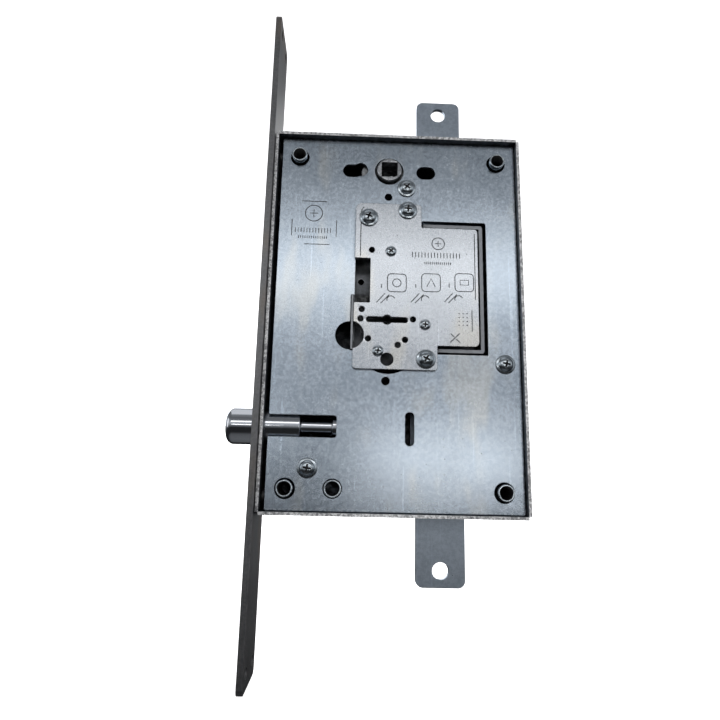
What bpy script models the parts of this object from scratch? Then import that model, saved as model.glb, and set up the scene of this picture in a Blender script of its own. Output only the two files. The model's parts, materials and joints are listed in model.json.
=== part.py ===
"""Mortise lock for an armoured door: forend, sheet case, deadbolt, rods, handle hub and lever core.

The frame is the lock's own, upright as in the door. The origin is the centre of the forend's
outer face, +X runs into the case, -Y is the cover side and +Z is up. Lengths are in metres.
"""

import math

import bmesh
import bpy
from mathutils import Matrix, Vector

MM = 0.001
GAP = 0.3 * MM
SHEET = 1.5 * MM
OVERCUT = 2 * MM
ROUND_STEPS = 24

# Forend: a flat strip that is let into the door's edge.
FOREND_LENGTH = 338 * MM
FOREND_WIDTH = 32 * MM
FOREND_THICK = 3 * MM
FOREND_CORNER = 3 * MM
FOREND_SCREW_Y = 8.7 * MM
FOREND_SCREW_Z = 161.5 * MM
FOREND_SCREW_RADIUS = 2.6 * MM
FOREND_COUNTERSINK_RADIUS = 5 * MM
RIVET_Z = (92 * MM, -86 * MM)
RIVET_RADIUS = 2.5 * MM

# Case: a folded tray, open on the cover side.
CASE_LEFT = FOREND_THICK + GAP
CASE_RIGHT = 131 * MM
CASE_TOP = 100.5 * MM
CASE_BOTTOM = -94 * MM
CASE_HALF_DEPTH = 13 * MM
FLOOR_Y = CASE_HALF_DEPTH - SHEET

# Cover: a flat sheet let into the tray's mouth.
COVER_FACE_Y = -9.2 * MM
COVER_BACK_Y = COVER_FACE_Y + SHEET
COVER_LEFT = 6.8 * MM
CORE_FACE_Y = COVER_FACE_Y - GAP - SHEET

# Deadbolt, its neck and the carriage that moves it.
BOLT_Z = -52.8 * MM
BOLT_RADIUS = 9 * MM
BOLT_HEAD_X = -14.2 * MM
BOLT_SHOULDER_X = 22.4 * MM
NECK_RADIUS = 5.5 * MM
COLLAR_X = 37.3 * MM
COLLAR_RADIUS = 7.35 * MM
COLLAR_THICK = 4 * MM
THROW = 14 * MM
WINDOW_END_X = 39.3 * MM
WINDOW_HALF_HEIGHT = 5.2 * MM
BOLT_NOSE = 3.2 * MM
BOLT_CHAMFER = 1 * MM
BOLT_HOLE_RADIUS = BOLT_RADIUS + 1.3 * GAP
SADDLE_LEFT = 24.5 * MM
SADDLE_FRONT_Y = 3 * MM
SADDLE_HALF_HEIGHT = 7 * MM
GUIDE_LEFT = 7.5 * MM
GUIDE_RIGHT = 10 * MM
GUIDE_HALF_HEIGHT = 13 * MM

CARRIAGE_FRONT_Y = 9.4 * MM
CARRIAGE_THICK = 1.6 * MM
CARRIAGE_ARM_END = 25 * MM
CARRIAGE_LEFT = 58 * MM
CARRIAGE_RIGHT = 104 * MM
CARRIAGE_TOP = 50 * MM
CARRIAGE_BOTTOM = -64 * MM
FINGER_TOP = 62 * MM
FINGER_HALF_WIDTH = 6 * MM
LIGHTENING_HOLES = ((70 * MM, -20 * MM), (92 * MM, -12 * MM))
LIGHTENING_RADIUS = 6 * MM
GUIDE_STUD_X = 80 * MM
GUIDE_STUD_Z = (30 * MM, -35 * MM)
GUIDE_STUD_RADIUS = 2.2 * MM

# Rods: flat bars that leave the case at its top and bottom.
ROD_FRONT_Y = 4 * MM
ROD_THICK = 2.5 * MM
TAB_LEFT = 79 * MM
TAB_RIGHT = 103 * MM
TAB_HOLE_RADIUS = 4 * MM
TAB_HOLE_FROM_END = 7.8 * MM
TOP_ROD_END = 132.8 * MM
BOTTOM_ROD_END = -127.2 * MM
NECK_LEFT = 89 * MM
FOOT_RIGHT = 114 * MM
TOP_FOOT_LEFT = 76 * MM
BOTTOM_FOOT_LEFT = 76.2 * MM
FOOT_HALF_HEIGHT = 18.5 * MM
DRIVE_PIN_X = 95 * MM
DRIVE_PIN_RADIUS = 2 * MM
TOP_DRIVE_Z = 44 * MM
BOTTOM_DRIVE_Z = -57.5 * MM

# Handle hub: a square follower whose arm moves the carriage.
HUB_X = 63 * MM
HUB_Z = 81.7 * MM
HUB_SQUARE = 8.2 * MM
HUB_BOSS_RADIUS = 6.5 * MM
HUB_PROUD = 2 * MM
HUB_LOBE_REACH = 9 * MM
HUB_LOBE_RADIUS = 5.5 * MM
HUB_LOBE_THICK = 3 * MM
HUB_BODY_RADIUS = 8.6 * MM
HUB_ARM = 28 * MM
HUB_ARM_HALF_WIDTH = 4 * MM
HUB_ARM_FRONT_Y = 6.9 * MM
HUB_ARM_THICK = 2.1 * MM
HUB_PIN_RADIUS = 2.5 * MM
HANDLE_SCREW_SPACING = 38 * MM
HANDLE_SLOT_OFFSET = HANDLE_SCREW_SPACING / 2 + 0.3 * MM
HANDLE_SLOT_Z = 81.4 * MM
HANDLE_SLOT_HALF_LENGTH = 4.9 * MM
HANDLE_SLOT_RADIUS = 3.5 * MM

# Core: a box of levers under a plate, around the key.
KEY_X = 62.7 * MM
KEY_Z = 0.4 * MM
KEY_HALF_LENGTH = 10.4 * MM
KEY_HALF_WIDTH = 1.4 * MM
KEY_SHANK_RADIUS = 2.5 * MM
CORE_LEFT = 46.1 * MM
CORE_RIGHT = 108.5 * MM
CORE_STEP_X = 79.8 * MM
CORE_LOBE_X = 87.7 * MM
CORE_TOP = 62.4 * MM
CORE_SHOULDER = 49.7 * MM
CORE_LOWER_STEP = -12.2 * MM
CORE_BOTTOM = -24.6 * MM
NOTCH_RIGHT = 54 * MM
NOTCH_TOP = 32.3 * MM
NOTCH_BOTTOM = 9 * MM
BOX_LEFT = 44.9 * MM
BOX_RIGHT = 111.6 * MM
BOX_TOP = 52.7 * MM
BOX_BOTTOM = -15 * MM
BOX_RIM_Y = -8.6 * MM
BOX_RIM_LEFT = 81 * MM
BOX_LOBE_RIGHT = 75 * MM
BOX_LOBE_BOTTOM = -24.4 * MM
# Corner radii of the core plate in millimetres, from its lower left corner round to the notch.
CORE_CORNER_RADII = (1.6, 1.6, 0.6, 2.5, 1.8, 0.6, 1.8, 3.2, 0.5, 0.6, 0.6, 0.5)
BOX_BACK_Y = 3.3 * MM
BOX_WALL = 1.8 * MM
STRIP_X = 45 * MM
STRIP_THICK = 0.8 * MM
STRIP_TOP = 13 * MM
STRIP_BOTTOM = -14.8 * MM
STRIP_Y = -10.2 * MM
OPENING_LEFT = 48.5 * MM
OPENING_RIGHT = 113.2 * MM
OPENING_STEP_X = 80 * MM
OPENING_SHOULDER = 50 * MM
OPENING_TOP = 54 * MM
OPENING_BOTTOM = -16 * MM

LEVER_COUNT = 6
LEVER_THICK = 0.9 * MM
LEVER_PITCH = 1.2 * MM
LEVER_FIRST_Y = -7.3 * MM
LEVER_LEFT = 58 * MM
LEVER_RIGHT = 105 * MM
LEVER_TOP = 41 * MM
LEVER_BOTTOM = 11.5 * MM
LEVER_LIFT = 2.5 * MM
LEVER_BELLY_RADIUS = 11.9 * MM
SPRING_X = 88 * MM
SPRING_HALF_WIDTH = 6 * MM
SPRING_WIRE = 0.3 * MM

STUD_X = 88 * MM
STUD_Z = 8 * MM
STUD_HALF = 2 * MM
SLIDER_FRONT_Y = 0.1 * MM
SLIDER_THICK = 1.3 * MM
SLIDER_LEFT = 47 * MM
SLIDER_RIGHT = 92 * MM
SLIDER_TOP = 16 * MM
SLIDER_BOTTOM = 8.5 * MM

# Plain holes of the cover: (x, z, radius), and the upright slot.
COVER_HOLES = ((62.8 * MM, 67 * MM, 1.9 * MM), (62.5 * MM, -30.1 * MM, 2 * MM))
UPRIGHT_SLOT_X = 74.4 * MM
UPRIGHT_SLOT_Z = (-59 * MM, -47.2 * MM)
UPRIGHT_SLOT_RADIUS = 2.1 * MM
LOBE_CENTRE = (63.2 * MM, -11.4 * MM)
LOBE_RADIUS = 15 * MM
SIDE_HOLE = (48.1 * MM, 82.2 * MM)
SIDE_HOLE_RADIUS = 3.7 * MM
PLATE_HOLE = (62.9 * MM, -19.6 * MM)
PLATE_HOLE_RADIUS = 3.2 * MM
PIN_HOLE_RADIUS = 1.5 * MM
NOTCH_HOLE = (49.8 * MM, 23.8 * MM)
NOTCH_HOLE_RADIUS = 1.6 * MM

# Posts, pillars and screws: (x, z) of each centre.
POST_LEFT = 16 * MM
POST_RIGHT = 119.4 * MM
POST_TOP = 88 * MM
POST_BOTTOM = -82 * MM
POST_RADIUS = 4 * MM
POST_BORE = 3.1 * MM
POST_PROUD = 3.5 * MM
BUSH_CENTRE = (38.2 * MM, -81.8 * MM)
BUSH_RADIUS = 4.2 * MM
BUSH_BORE = 3.4 * MM
BUSH_HOLE = 4.5 * MM
COVER_SCREWS = ((121.5 * MM, -20.3 * MM), (26.1 * MM, -72.5 * MM), (72.2 * MM, 72.2 * MM))
PLATE_SCREWS = ((72.7 * MM, 58.9 * MM), (52.7 * MM, 54.3 * MM), (82 * MM, -19.1 * MM))
ROUND_HOLE = (44.4 * MM, -7.7 * MM)
ROUND_HOLE_RADIUS = 7 * MM
CORE_SCREWS = ((64.3 * MM, 36.3 * MM), (81.6 * MM, -1.7 * MM), (58.4 * MM, -15.6 * MM))
PILLAR_RADIUS = 2.5 * MM
SPACER_RADIUS = 1.9 * MM
SHANK_RADIUS = 1.2 * MM
COVER_SHANK_RADIUS = 1.5 * MM
LEVER_PIN = (98 * MM, 30 * MM)
LEVER_PIN_RADIUS = 1.5 * MM
PIN_HOLES = (
    (54.6 * MM, 36.8 * MM), (50.1 * MM, 5.5 * MM), (49.6 * MM, 0.6 * MM), (75.6 * MM, 0.9 * MM),
    (53.5 * MM, -9.4 * MM), (71.7 * MM, -9.6 * MM), (68.1 * MM, -12.3 * MM),
)


# ---------------------------------------------------------------- scene and materials

def clear_scene():
    """Remove every object, so that the script builds on an empty scene."""
    for item in list(bpy.data.objects):
        bpy.data.objects.remove(item, do_unlink=True)


def new_collection(name):
    """Return a collection linked under the scene's root."""
    collection = bpy.data.collections.new(name)
    bpy.context.scene.collection.children.link(collection)
    return collection


def metal(name, colour, roughness):
    """Return a metallic Principled BSDF material."""
    material = bpy.data.materials.new(name)
    material.use_nodes = True
    shader = material.node_tree.nodes["Principled BSDF"]
    shader.inputs["Base Color"].default_value = (*colour, 1.0)
    shader.inputs["Metallic"].default_value = 1.0
    shader.inputs["Roughness"].default_value = roughness
    material.diffuse_color = (*colour, 1.0)
    return material


clear_scene()
PARTS = new_collection("mortise_lock")
CUTTERS = new_collection("cutters")
COLOURS = {
    "forend": ((0.30, 0.31, 0.32), 0.42),
    "case": ((0.46, 0.50, 0.55), 0.36),
    "cover": ((0.50, 0.55, 0.61), 0.34),
    "core": ((0.62, 0.65, 0.69), 0.36),
    "bolt": ((0.78, 0.79, 0.80), 0.12),
    "rod": ((0.52, 0.54, 0.57), 0.40),
    "screw": ((0.66, 0.70, 0.74), 0.26),
    "inner": ((0.48, 0.49, 0.50), 0.38),
    "lever": ((0.66, 0.55, 0.30), 0.34),
    "spring": ((0.40, 0.41, 0.43), 0.30),
}


def add_part(name, mesh, look, location=(0, 0, 0), rotation=None):
    """Add a named piece with a material of its own."""
    piece = bpy.data.objects.new(name, mesh)
    piece.matrix_world = Matrix.Translation(location) @ (rotation or Matrix())
    if not mesh.materials:
        mesh.materials.append(metal(name, *COLOURS[look]))
    PARTS.objects.link(piece)
    return piece


# ---------------------------------------------------------------- outlines in the X-Z plane

def circle(centre, radius, steps=ROUND_STEPS):
    """Return points around a circle."""
    turn = math.tau / steps
    return [(centre[0] + radius * math.cos(i * turn), centre[1] + radius * math.sin(i * turn))
            for i in range(steps)]


def arc(centre, radius, start, stop, steps=6):
    """Return points along an arc, with its angles in degrees."""
    angles = [math.radians(start + (stop - start) * i / steps) for i in range(steps + 1)]
    return [(centre[0] + radius * math.cos(a), centre[1] + radius * math.sin(a)) for a in angles]


def rectangle(left, bottom, right, top):
    """Return the corners of a rectangle."""
    return [(left, bottom), (right, bottom), (right, top), (left, top)]


def rounded(corners, radius, steps=4):
    """Round each corner of an outline, or a corner by itself where radius is a list."""
    radii = radius if isinstance(radius, (list, tuple)) else [radius] * len(corners)
    points = []
    for index, corner in enumerate(corners):
        here = Vector(corner)
        before = (Vector(corners[index - 1]) - here).normalized()
        after = (Vector(corners[(index + 1) % len(corners)]) - here).normalized()
        if radii[index] <= 0:
            points.append(tuple(here))
            continue
        half = before.angle(after) / 2
        reach = radii[index] / math.tan(half)
        centre = here + (before + after).normalized() * radii[index] / math.sin(half)
        first = here + before * reach - centre
        last = here + after * reach - centre
        sweep = first.angle_signed(last)
        for step in range(steps + 1):
            turned = first.copy()
            turned.rotate(Matrix.Rotation(-sweep * step / steps, 2))
            points.append(tuple(centre + turned))
    return points


def stadium(start, end, radius, steps=8):
    """Return a slot with round ends between two centres."""
    run = Vector(end) - Vector(start)
    heading = math.degrees(math.atan2(run.y, run.x))
    return (arc(end, radius, heading - 90, heading + 90, steps)
            + arc(start, radius, heading + 90, heading + 270, steps))


# ---------------------------------------------------------------- shapes

def mesh_from(shape):
    """Return a welded mesh of an object's evaluated shape, and remove the object."""
    bpy.context.view_layer.update()
    graph = bpy.context.evaluated_depsgraph_get()
    mesh = bpy.data.meshes.new_from_object(shape.evaluated_get(graph))
    welder = bmesh.new()
    welder.from_mesh(mesh)
    bmesh.ops.remove_doubles(welder, verts=welder.verts, dist=0.00001)
    welder.to_mesh(mesh)
    welder.free()
    mesh.materials.clear()
    bpy.data.objects.remove(shape, do_unlink=True)
    return mesh


def flat_mesh(outlines, thickness, origin=(0, 0)):
    """Return a plate's mesh from outlines in the X-Z plane: the first is the edge, the rest are holes."""
    curve = bpy.data.curves.new("outline", "CURVE")
    curve.dimensions = "2D"
    curve.fill_mode = "BOTH"
    curve.extrude = thickness / 2
    for outline in outlines:
        spline = curve.splines.new("POLY")
        spline.points.add(len(outline) - 1)
        for point, (x, z) in zip(spline.points, outline):
            point.co = (x - origin[0], z - origin[1], 0, 1)
        spline.use_cyclic_u = True
    shape = bpy.data.objects.new("outline", curve)
    PARTS.objects.link(shape)
    mesh = mesh_from(shape)
    mesh.transform(Matrix.Rotation(math.pi / 2, 4, "X"))
    return mesh


def plate(name, look, outlines, front_y, thickness, origin=(0, 0)):
    """Add a flat piece whose front face looks along -Y."""
    mesh = flat_mesh(outlines, thickness, origin)
    return add_part(name, mesh, look, (origin[0], front_y + thickness / 2, origin[1]))


def box_mesh(low, high):
    """Return a box's mesh between two corners."""
    size = [b - a for a, b in zip(low, high)]
    middle = [(a + b) / 2 for a, b in zip(low, high)]
    builder = bmesh.new()
    bmesh.ops.create_cube(builder, size=1.0)
    bmesh.ops.scale(builder, vec=size, verts=builder.verts)
    bmesh.ops.translate(builder, vec=middle, verts=builder.verts)
    mesh = bpy.data.meshes.new("box")
    builder.to_mesh(mesh)
    builder.free()
    return mesh


def turned_mesh(profile, steps=ROUND_STEPS, closed=False):
    """Return a solid turned about local Z from (radius, height) points, top to bottom."""
    mesh = bpy.data.meshes.new("profile")
    count = len(profile)
    edges = [(i, i + 1) for i in range(count - 1)]
    if closed:
        edges.append((count - 1, 0))
    mesh.from_pydata([(radius, 0, height) for radius, height in profile], edges, [])
    shape = bpy.data.objects.new("profile", mesh)
    PARTS.objects.link(shape)
    screw = shape.modifiers.new("turn", "SCREW")
    screw.steps = steps
    screw.render_steps = steps
    screw.use_merge_vertices = True
    screw.merge_threshold = 0.00001
    turned = mesh_from(shape)
    turned.shade_smooth()
    turned.set_sharp_from_angle(angle=math.radians(35))
    return turned


TO_COVER = Matrix.Rotation(math.pi / 2, 4, "X")
TO_DOOR_EDGE = Matrix.Rotation(-math.pi / 2, 4, "Y")


def turned(name, look, profile, centre, rotation=TO_COVER, steps=ROUND_STEPS, closed=False):
    """Add a turned piece. Heights run towards the cover, or towards the door's edge for the bolt."""
    mesh = turned_mesh(profile, steps, closed)
    mesh.transform(rotation)
    return add_part(name, mesh, look, centre)


def tube_profile(outer, bore, top, bottom):
    """Return a closed profile for a plain tube."""
    return [(outer, top), (outer, bottom), (bore, bottom), (bore, top)]


def blind_profile(outer, bore, top, bottom, bore_end):
    """Return a profile for a pillar with a blind bore in its top."""
    return [(0, bore_end), (bore, bore_end), (bore, top), (outer, top), (outer, bottom), (0, bottom)]


def rod_profile(radius, top, bottom, chamfer=0.0):
    """Return a profile for a plain pin, with a chamfer at its top."""
    start = [(0, top), (radius - chamfer, top)] if chamfer else [(0, top)]
    return start + [(radius, top - chamfer), (radius, bottom), (0, bottom)]


def as_cutter(mesh):
    """Put a mesh among the cutters, hidden from the finished lock."""
    cutter = bpy.data.objects.new("cutter", mesh)
    cutter.hide_render = True
    cutter.display_type = "WIRE"
    CUTTERS.objects.link(cutter)
    return cutter


def combine(piece, mesh, operation="DIFFERENCE"):
    """Cut a mesh away from a piece, or join it on."""
    modifier = piece.modifiers.new("combine", "BOOLEAN")
    modifier.operation = operation
    modifier.solver = "EXACT"
    modifier.object = as_cutter(mesh)


def cut_outline(piece, outline, front_y, back_y):
    """Cut a straight hole with a given outline between two depths."""
    mesh = flat_mesh([outline], back_y - front_y)
    mesh.transform(Matrix.Translation((0, (front_y + back_y) / 2, 0)))
    combine(piece, mesh)


def cut_box(piece, low, high):
    """Cut a box out of a piece."""
    combine(piece, box_mesh(low, high))


def cut_along_x(piece, radius, y, z, left, right):
    """Cut a round hole that runs along X."""
    mesh = turned_mesh([(0, -left), (radius, -left), (radius, -right), (0, -right)])
    mesh.transform(TO_DOOR_EDGE)
    mesh.transform(Matrix.Translation((0, y, z)))
    combine(piece, mesh)


# ---------------------------------------------------------------- forend and case

def build_forend():
    """Flat strip with a bolt hole and two countersunk screws at each end."""
    half_width = FOREND_WIDTH / 2
    half_length = FOREND_LENGTH / 2
    outline = rounded(rectangle(-half_width, -half_length, half_width, half_length), FOREND_CORNER)
    mesh = flat_mesh([outline, circle((0, BOLT_Z), BOLT_HOLE_RADIUS)], FOREND_THICK)
    mesh.transform(Matrix.Rotation(math.pi / 2, 4, "Z"))
    forend = add_part("forend_plate", mesh, "forend", (FOREND_THICK / 2, 0, 0))
    for end in (1, -1):
        for side in (1, -1):
            sink = FOREND_COUNTERSINK_RADIUS - FOREND_SCREW_RADIUS
            cone = [(0, OVERCUT), (FOREND_COUNTERSINK_RADIUS + OVERCUT, OVERCUT),
                    (FOREND_SCREW_RADIUS, -sink), (FOREND_SCREW_RADIUS, -FOREND_THICK - OVERCUT),
                    (0, -FOREND_THICK - OVERCUT)]
            hole = turned_mesh(cone, 16)
            hole.transform(TO_DOOR_EDGE)
            hole.transform(Matrix.Translation((0, side * FOREND_SCREW_Y, end * FOREND_SCREW_Z)))
            combine(forend, hole)
    for z in RIVET_Z:
        cut_along_x(forend, RIVET_RADIUS + GAP, 0, z, -OVERCUT, FOREND_THICK + OVERCUT)


def build_rivets():
    """Rivets that hold the case to the forend, flush with the forend's outer face."""
    for place, z in zip(("upper", "lower"), RIVET_Z):
        length = FOREND_THICK + GAP + SHEET
        profile = [(0, 0), (RIVET_RADIUS, 0), (RIVET_RADIUS, -length - GAP),
                   (RIVET_RADIUS + 1 * MM, -length - GAP), (RIVET_RADIUS + 1 * MM, -length - 1.2 * MM),
                   (0, -length - 1.2 * MM)]
        turned("forend_rivet_" + place, "screw", profile, (0, 0, z), TO_DOOR_EDGE, 16)


def build_case():
    """Folded tray with open corner seams, rod slots and the holes of its floor."""
    low = (CASE_LEFT, -CASE_HALF_DEPTH, CASE_BOTTOM)
    high = (CASE_RIGHT, CASE_HALF_DEPTH, CASE_TOP)
    case = add_part("case_tray", box_mesh(low, high), "case")
    cut_box(case, (low[0] + SHEET, low[1] - OVERCUT, low[2] + SHEET),
            (high[0] - SHEET, FLOOR_Y, high[2] - SHEET))
    seam = 0.9 * SHEET
    for x in (low[0], high[0]):
        for z in (low[2], high[2]):
            cut_box(case, (x - seam, low[1] - OVERCUT, z - seam), (x + seam, FLOOR_Y - 1 * MM, z + seam))
    for z in (CASE_TOP, CASE_BOTTOM):
        cut_box(case, (TAB_LEFT - GAP, ROD_FRONT_Y - GAP, z - 2 * OVERCUT),
                (TAB_RIGHT + GAP, ROD_FRONT_Y + ROD_THICK + GAP, z + 2 * OVERCUT))
    cut_along_x(case, BOLT_HOLE_RADIUS, 0, BOLT_Z, CASE_LEFT - OVERCUT, CASE_LEFT + SHEET + OVERCUT)
    for z in RIVET_Z:
        cut_along_x(case, RIVET_RADIUS + GAP, 0, z, CASE_LEFT - OVERCUT, CASE_LEFT + SHEET + OVERCUT)
    floor = (FLOOR_Y - OVERCUT, CASE_HALF_DEPTH + OVERCUT)
    cut_outline(case, circle((HUB_X, HUB_Z), HUB_BOSS_RADIUS + GAP), *floor)
    cut_outline(case, keyhole_outline(), *floor)
    for outline in handle_slots():
        cut_outline(case, outline, *floor)


def post_centres():
    """Return each fixing post's centre by its place."""
    return {
        "top_front": (POST_LEFT, POST_TOP), "top_back": (POST_RIGHT, POST_TOP),
        "bottom_front": (POST_LEFT, POST_BOTTOM), "bottom_back": (POST_RIGHT, POST_BOTTOM),
    }


def handle_slots():
    """Return the two slots for the handle's screws, one on each side of the hub."""
    run = HANDLE_SLOT_HALF_LENGTH - HANDLE_SLOT_RADIUS
    slots = []
    for side in (-1, 1):
        middle = HUB_X + side * HANDLE_SLOT_OFFSET
        slots.append(stadium((middle - run, HANDLE_SLOT_Z), (middle + run, HANDLE_SLOT_Z),
                             HANDLE_SLOT_RADIUS, 6))
    return slots


def keyhole_outline():
    """Return the double-bit keyhole: a level slot with round ends and a round middle."""
    lift = math.degrees(math.asin(KEY_HALF_WIDTH / KEY_SHANK_RADIUS))
    end = KEY_HALF_LENGTH - KEY_HALF_WIDTH
    return (arc((KEY_X + end, KEY_Z), KEY_HALF_WIDTH, -90, 90, 4)
            + arc((KEY_X, KEY_Z), KEY_SHANK_RADIUS, lift, 180 - lift, 6)
            + arc((KEY_X - end, KEY_Z), KEY_HALF_WIDTH, 90, 270, 4)
            + arc((KEY_X, KEY_Z), KEY_SHANK_RADIUS, 180 + lift, 360 - lift, 6))


def build_cover():
    """Flat cover with the bolt window, the core opening and the holes for posts, hub and screws."""
    right, top = CASE_RIGHT - SHEET - GAP, CASE_TOP - SHEET - GAP
    bottom = CASE_BOTTOM + SHEET + GAP
    corners = [(COVER_LEFT, bottom), (right, bottom), (right, top), (COVER_LEFT, top),
               (COVER_LEFT, BOLT_Z + WINDOW_HALF_HEIGHT), (WINDOW_END_X, BOLT_Z + WINDOW_HALF_HEIGHT),
               (WINDOW_END_X, BOLT_Z - WINDOW_HALF_HEIGHT), (COVER_LEFT, BOLT_Z - WINDOW_HALF_HEIGHT)]
    radii = [1 * MM] * 4 + [0, 1.5 * MM, 1.5 * MM, 0]
    holes = [circle(centre, POST_RADIUS + 2.5 * GAP, 20) for centre in post_centres().values()]
    holes += [circle(BUSH_CENTRE, BUSH_HOLE, 20), circle((HUB_X, HUB_Z), HUB_BOSS_RADIUS + 3 * GAP)]
    holes += [circle((x, z), radius, 12) for x, z, radius in COVER_HOLES]
    holes += [circle(centre, COVER_SHANK_RADIUS + GAP, 12) for centre in COVER_SCREWS + PLATE_SCREWS]
    holes += handle_slots()
    holes += [stadium((UPRIGHT_SLOT_X, UPRIGHT_SLOT_Z[0]), (UPRIGHT_SLOT_X, UPRIGHT_SLOT_Z[1]),
                      UPRIGHT_SLOT_RADIUS, 6)]
    cover = plate("case_cover", "cover", [rounded(corners, radii)] + holes, COVER_FACE_Y, SHEET)
    span = (COVER_FACE_Y - OVERCUT, COVER_BACK_Y + OVERCUT)
    opening = [(OPENING_LEFT, OPENING_BOTTOM), (OPENING_RIGHT, OPENING_BOTTOM),
               (OPENING_RIGHT, OPENING_TOP), (OPENING_STEP_X, OPENING_TOP),
               (OPENING_STEP_X, OPENING_SHOULDER), (OPENING_LEFT, OPENING_SHOULDER)]
    cut_outline(cover, rounded(opening, 0.8 * MM, 3), *span)
    cut_outline(cover, circle(ROUND_HOLE, ROUND_HOLE_RADIUS), *span)
    cut_outline(cover, rectangle(STRIP_X - GAP, STRIP_BOTTOM - GAP, OPENING_LEFT + GAP, STRIP_TOP + GAP),
                *span)
    cut_outline(cover, circle(LOBE_CENTRE, LOBE_RADIUS), *span)
    cut_outline(cover, rectangle(CORE_LEFT + 0.4 * MM, NOTCH_BOTTOM, NOTCH_RIGHT, NOTCH_TOP), *span)
    cut_outline(cover, circle(SIDE_HOLE, SIDE_HOLE_RADIUS, 20), *span)


def build_posts():
    """Tubular posts that take the fixing screws and stand proud of the cover, and a recessed bush."""
    top = -COVER_FACE_Y + POST_PROUD
    bottom = -FLOOR_Y + GAP
    for place, centre in post_centres().items():
        profile = tube_profile(POST_RADIUS, POST_BORE, top, bottom)
        profile[0:1] = [(POST_RADIUS - GAP, top), (POST_RADIUS, top - GAP)]
        turned("post_" + place, "screw", profile, (centre[0], 0, centre[1]), closed=True)
    profile = tube_profile(BUSH_RADIUS, BUSH_BORE, -COVER_BACK_Y - GAP, bottom)
    turned("fixing_bush", "inner", profile, (BUSH_CENTRE[0], 0, BUSH_CENTRE[1]), steps=20, closed=True)


def build_cover_pillars():
    """Threaded pillars between the floor and the cover, and a short nut under the upper screw."""
    top, floor = -COVER_BACK_Y - GAP, -FLOOR_Y + GAP
    bore = COVER_SHANK_RADIUS + GAP
    for place, (x, z) in zip(("back", "front"), COVER_SCREWS):
        profile = blind_profile(PILLAR_RADIUS, bore, top, floor, top - 7 * MM)
        turned("cover_pillar_" + place, "inner", profile, (x, 0, z), steps=18)
    x, z = COVER_SCREWS[2]
    profile = tube_profile(PILLAR_RADIUS + 1 * MM, bore, top, top - 3.7 * MM)
    turned("cover_nut", "inner", profile, (x, 0, z), steps=18, closed=True)


# ---------------------------------------------------------------- screws

def cross_recess(width, reach, depth, top):
    """Return a cross-shaped cutter for a screw head whose top is at the given height."""
    outline = []
    for quarter in range(4):
        spin = Matrix.Rotation(quarter * math.pi / 2, 2)
        for corner in ((width, width), (width, reach), (-width, reach)):
            outline.append(tuple(spin @ Vector(corner)))
    mesh = flat_mesh([outline], depth + OVERCUT)
    mesh.transform(Matrix.Translation((0, -top + depth / 2 - OVERCUT / 2, 0)))
    return mesh


def screw_mesh(profile, top, width, reach, depth):
    """Return a screw's mesh with its cross recess, axis along Y, head towards the cover."""
    mesh = turned_mesh(profile, 14)
    mesh.transform(TO_COVER)
    blank = bpy.data.objects.new("blank", mesh)
    PARTS.objects.link(blank)
    combine(blank, cross_recess(width, reach, depth, top))
    recess = blank.modifiers["combine"].object
    shaped = mesh_from(blank)
    bpy.data.objects.remove(recess, do_unlink=True)
    return shaped


def pan_screw_mesh(length):
    """Return a pan-head screw with a flange under its head, seated at height 0."""
    profile = [(0, 2.5 * MM), (1.8 * MM, 2.35 * MM), (3 * MM, 1.8 * MM), (3.6 * MM, 1.1 * MM),
               (3.6 * MM, 0.6 * MM), (4.8 * MM, 0.45 * MM), (4.8 * MM, 0),
               (COVER_SHANK_RADIUS, 0), (COVER_SHANK_RADIUS, -length), (0, -length)]
    return screw_mesh(profile, 2.5 * MM, 0.5 * MM, 2.1 * MM, 1.2 * MM)


def build_screws():
    """Pan-head screws of the cover and the core plate, and the small screws of the core box."""
    cover_mesh = pan_screw_mesh(SHEET + 5 * MM)
    for index, (x, z) in enumerate(COVER_SCREWS, 1):
        add_part(f"cover_screw_{index}", cover_mesh, "screw", (x, COVER_FACE_Y - GAP, z))
    plate_mesh = pan_screw_mesh(2 * SHEET + 2 * MM)
    for index, (x, z) in enumerate(PLATE_SCREWS, 1):
        add_part(f"core_plate_screw_{index}", plate_mesh, "screw", (x, CORE_FACE_Y - GAP, z))
    length = SHEET + 6 * MM
    profile = [(0, 1.0 * MM), (1.6 * MM, 0.9 * MM), (2.7 * MM, 0.3 * MM), (2.7 * MM, 0),
               (SHANK_RADIUS, 0), (SHANK_RADIUS, -length), (0, -length)]
    small_mesh = screw_mesh(profile, 1 * MM, 0.4 * MM, 1.5 * MM, 0.7 * MM)
    for index, (x, z) in enumerate(CORE_SCREWS, 1):
        add_part(f"core_screw_{index}", small_mesh, "screw", (x, CORE_FACE_Y - GAP, z))


# ---------------------------------------------------------------- bolt and carriage

def build_deadbolt():
    """Round bolt with a rounded nose, and a thinner neck between its shoulder and an end collar."""
    shoulder, collar = -BOLT_SHOULDER_X, -COLLAR_X
    profile = [(0, -BOLT_HEAD_X)]
    profile += arc((BOLT_RADIUS - BOLT_NOSE, -BOLT_HEAD_X - BOLT_NOSE), BOLT_NOSE, 90, 0, 5)
    profile += [(BOLT_RADIUS, shoulder + BOLT_CHAMFER), (BOLT_RADIUS - BOLT_CHAMFER, shoulder),
                (NECK_RADIUS, shoulder),
                (NECK_RADIUS, collar), (COLLAR_RADIUS, collar),
                (COLLAR_RADIUS, collar - COLLAR_THICK), (0, collar - COLLAR_THICK)]
    turned("deadbolt", "bolt", profile, (0, 0, BOLT_Z), TO_DOOR_EDGE, 32)


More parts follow.
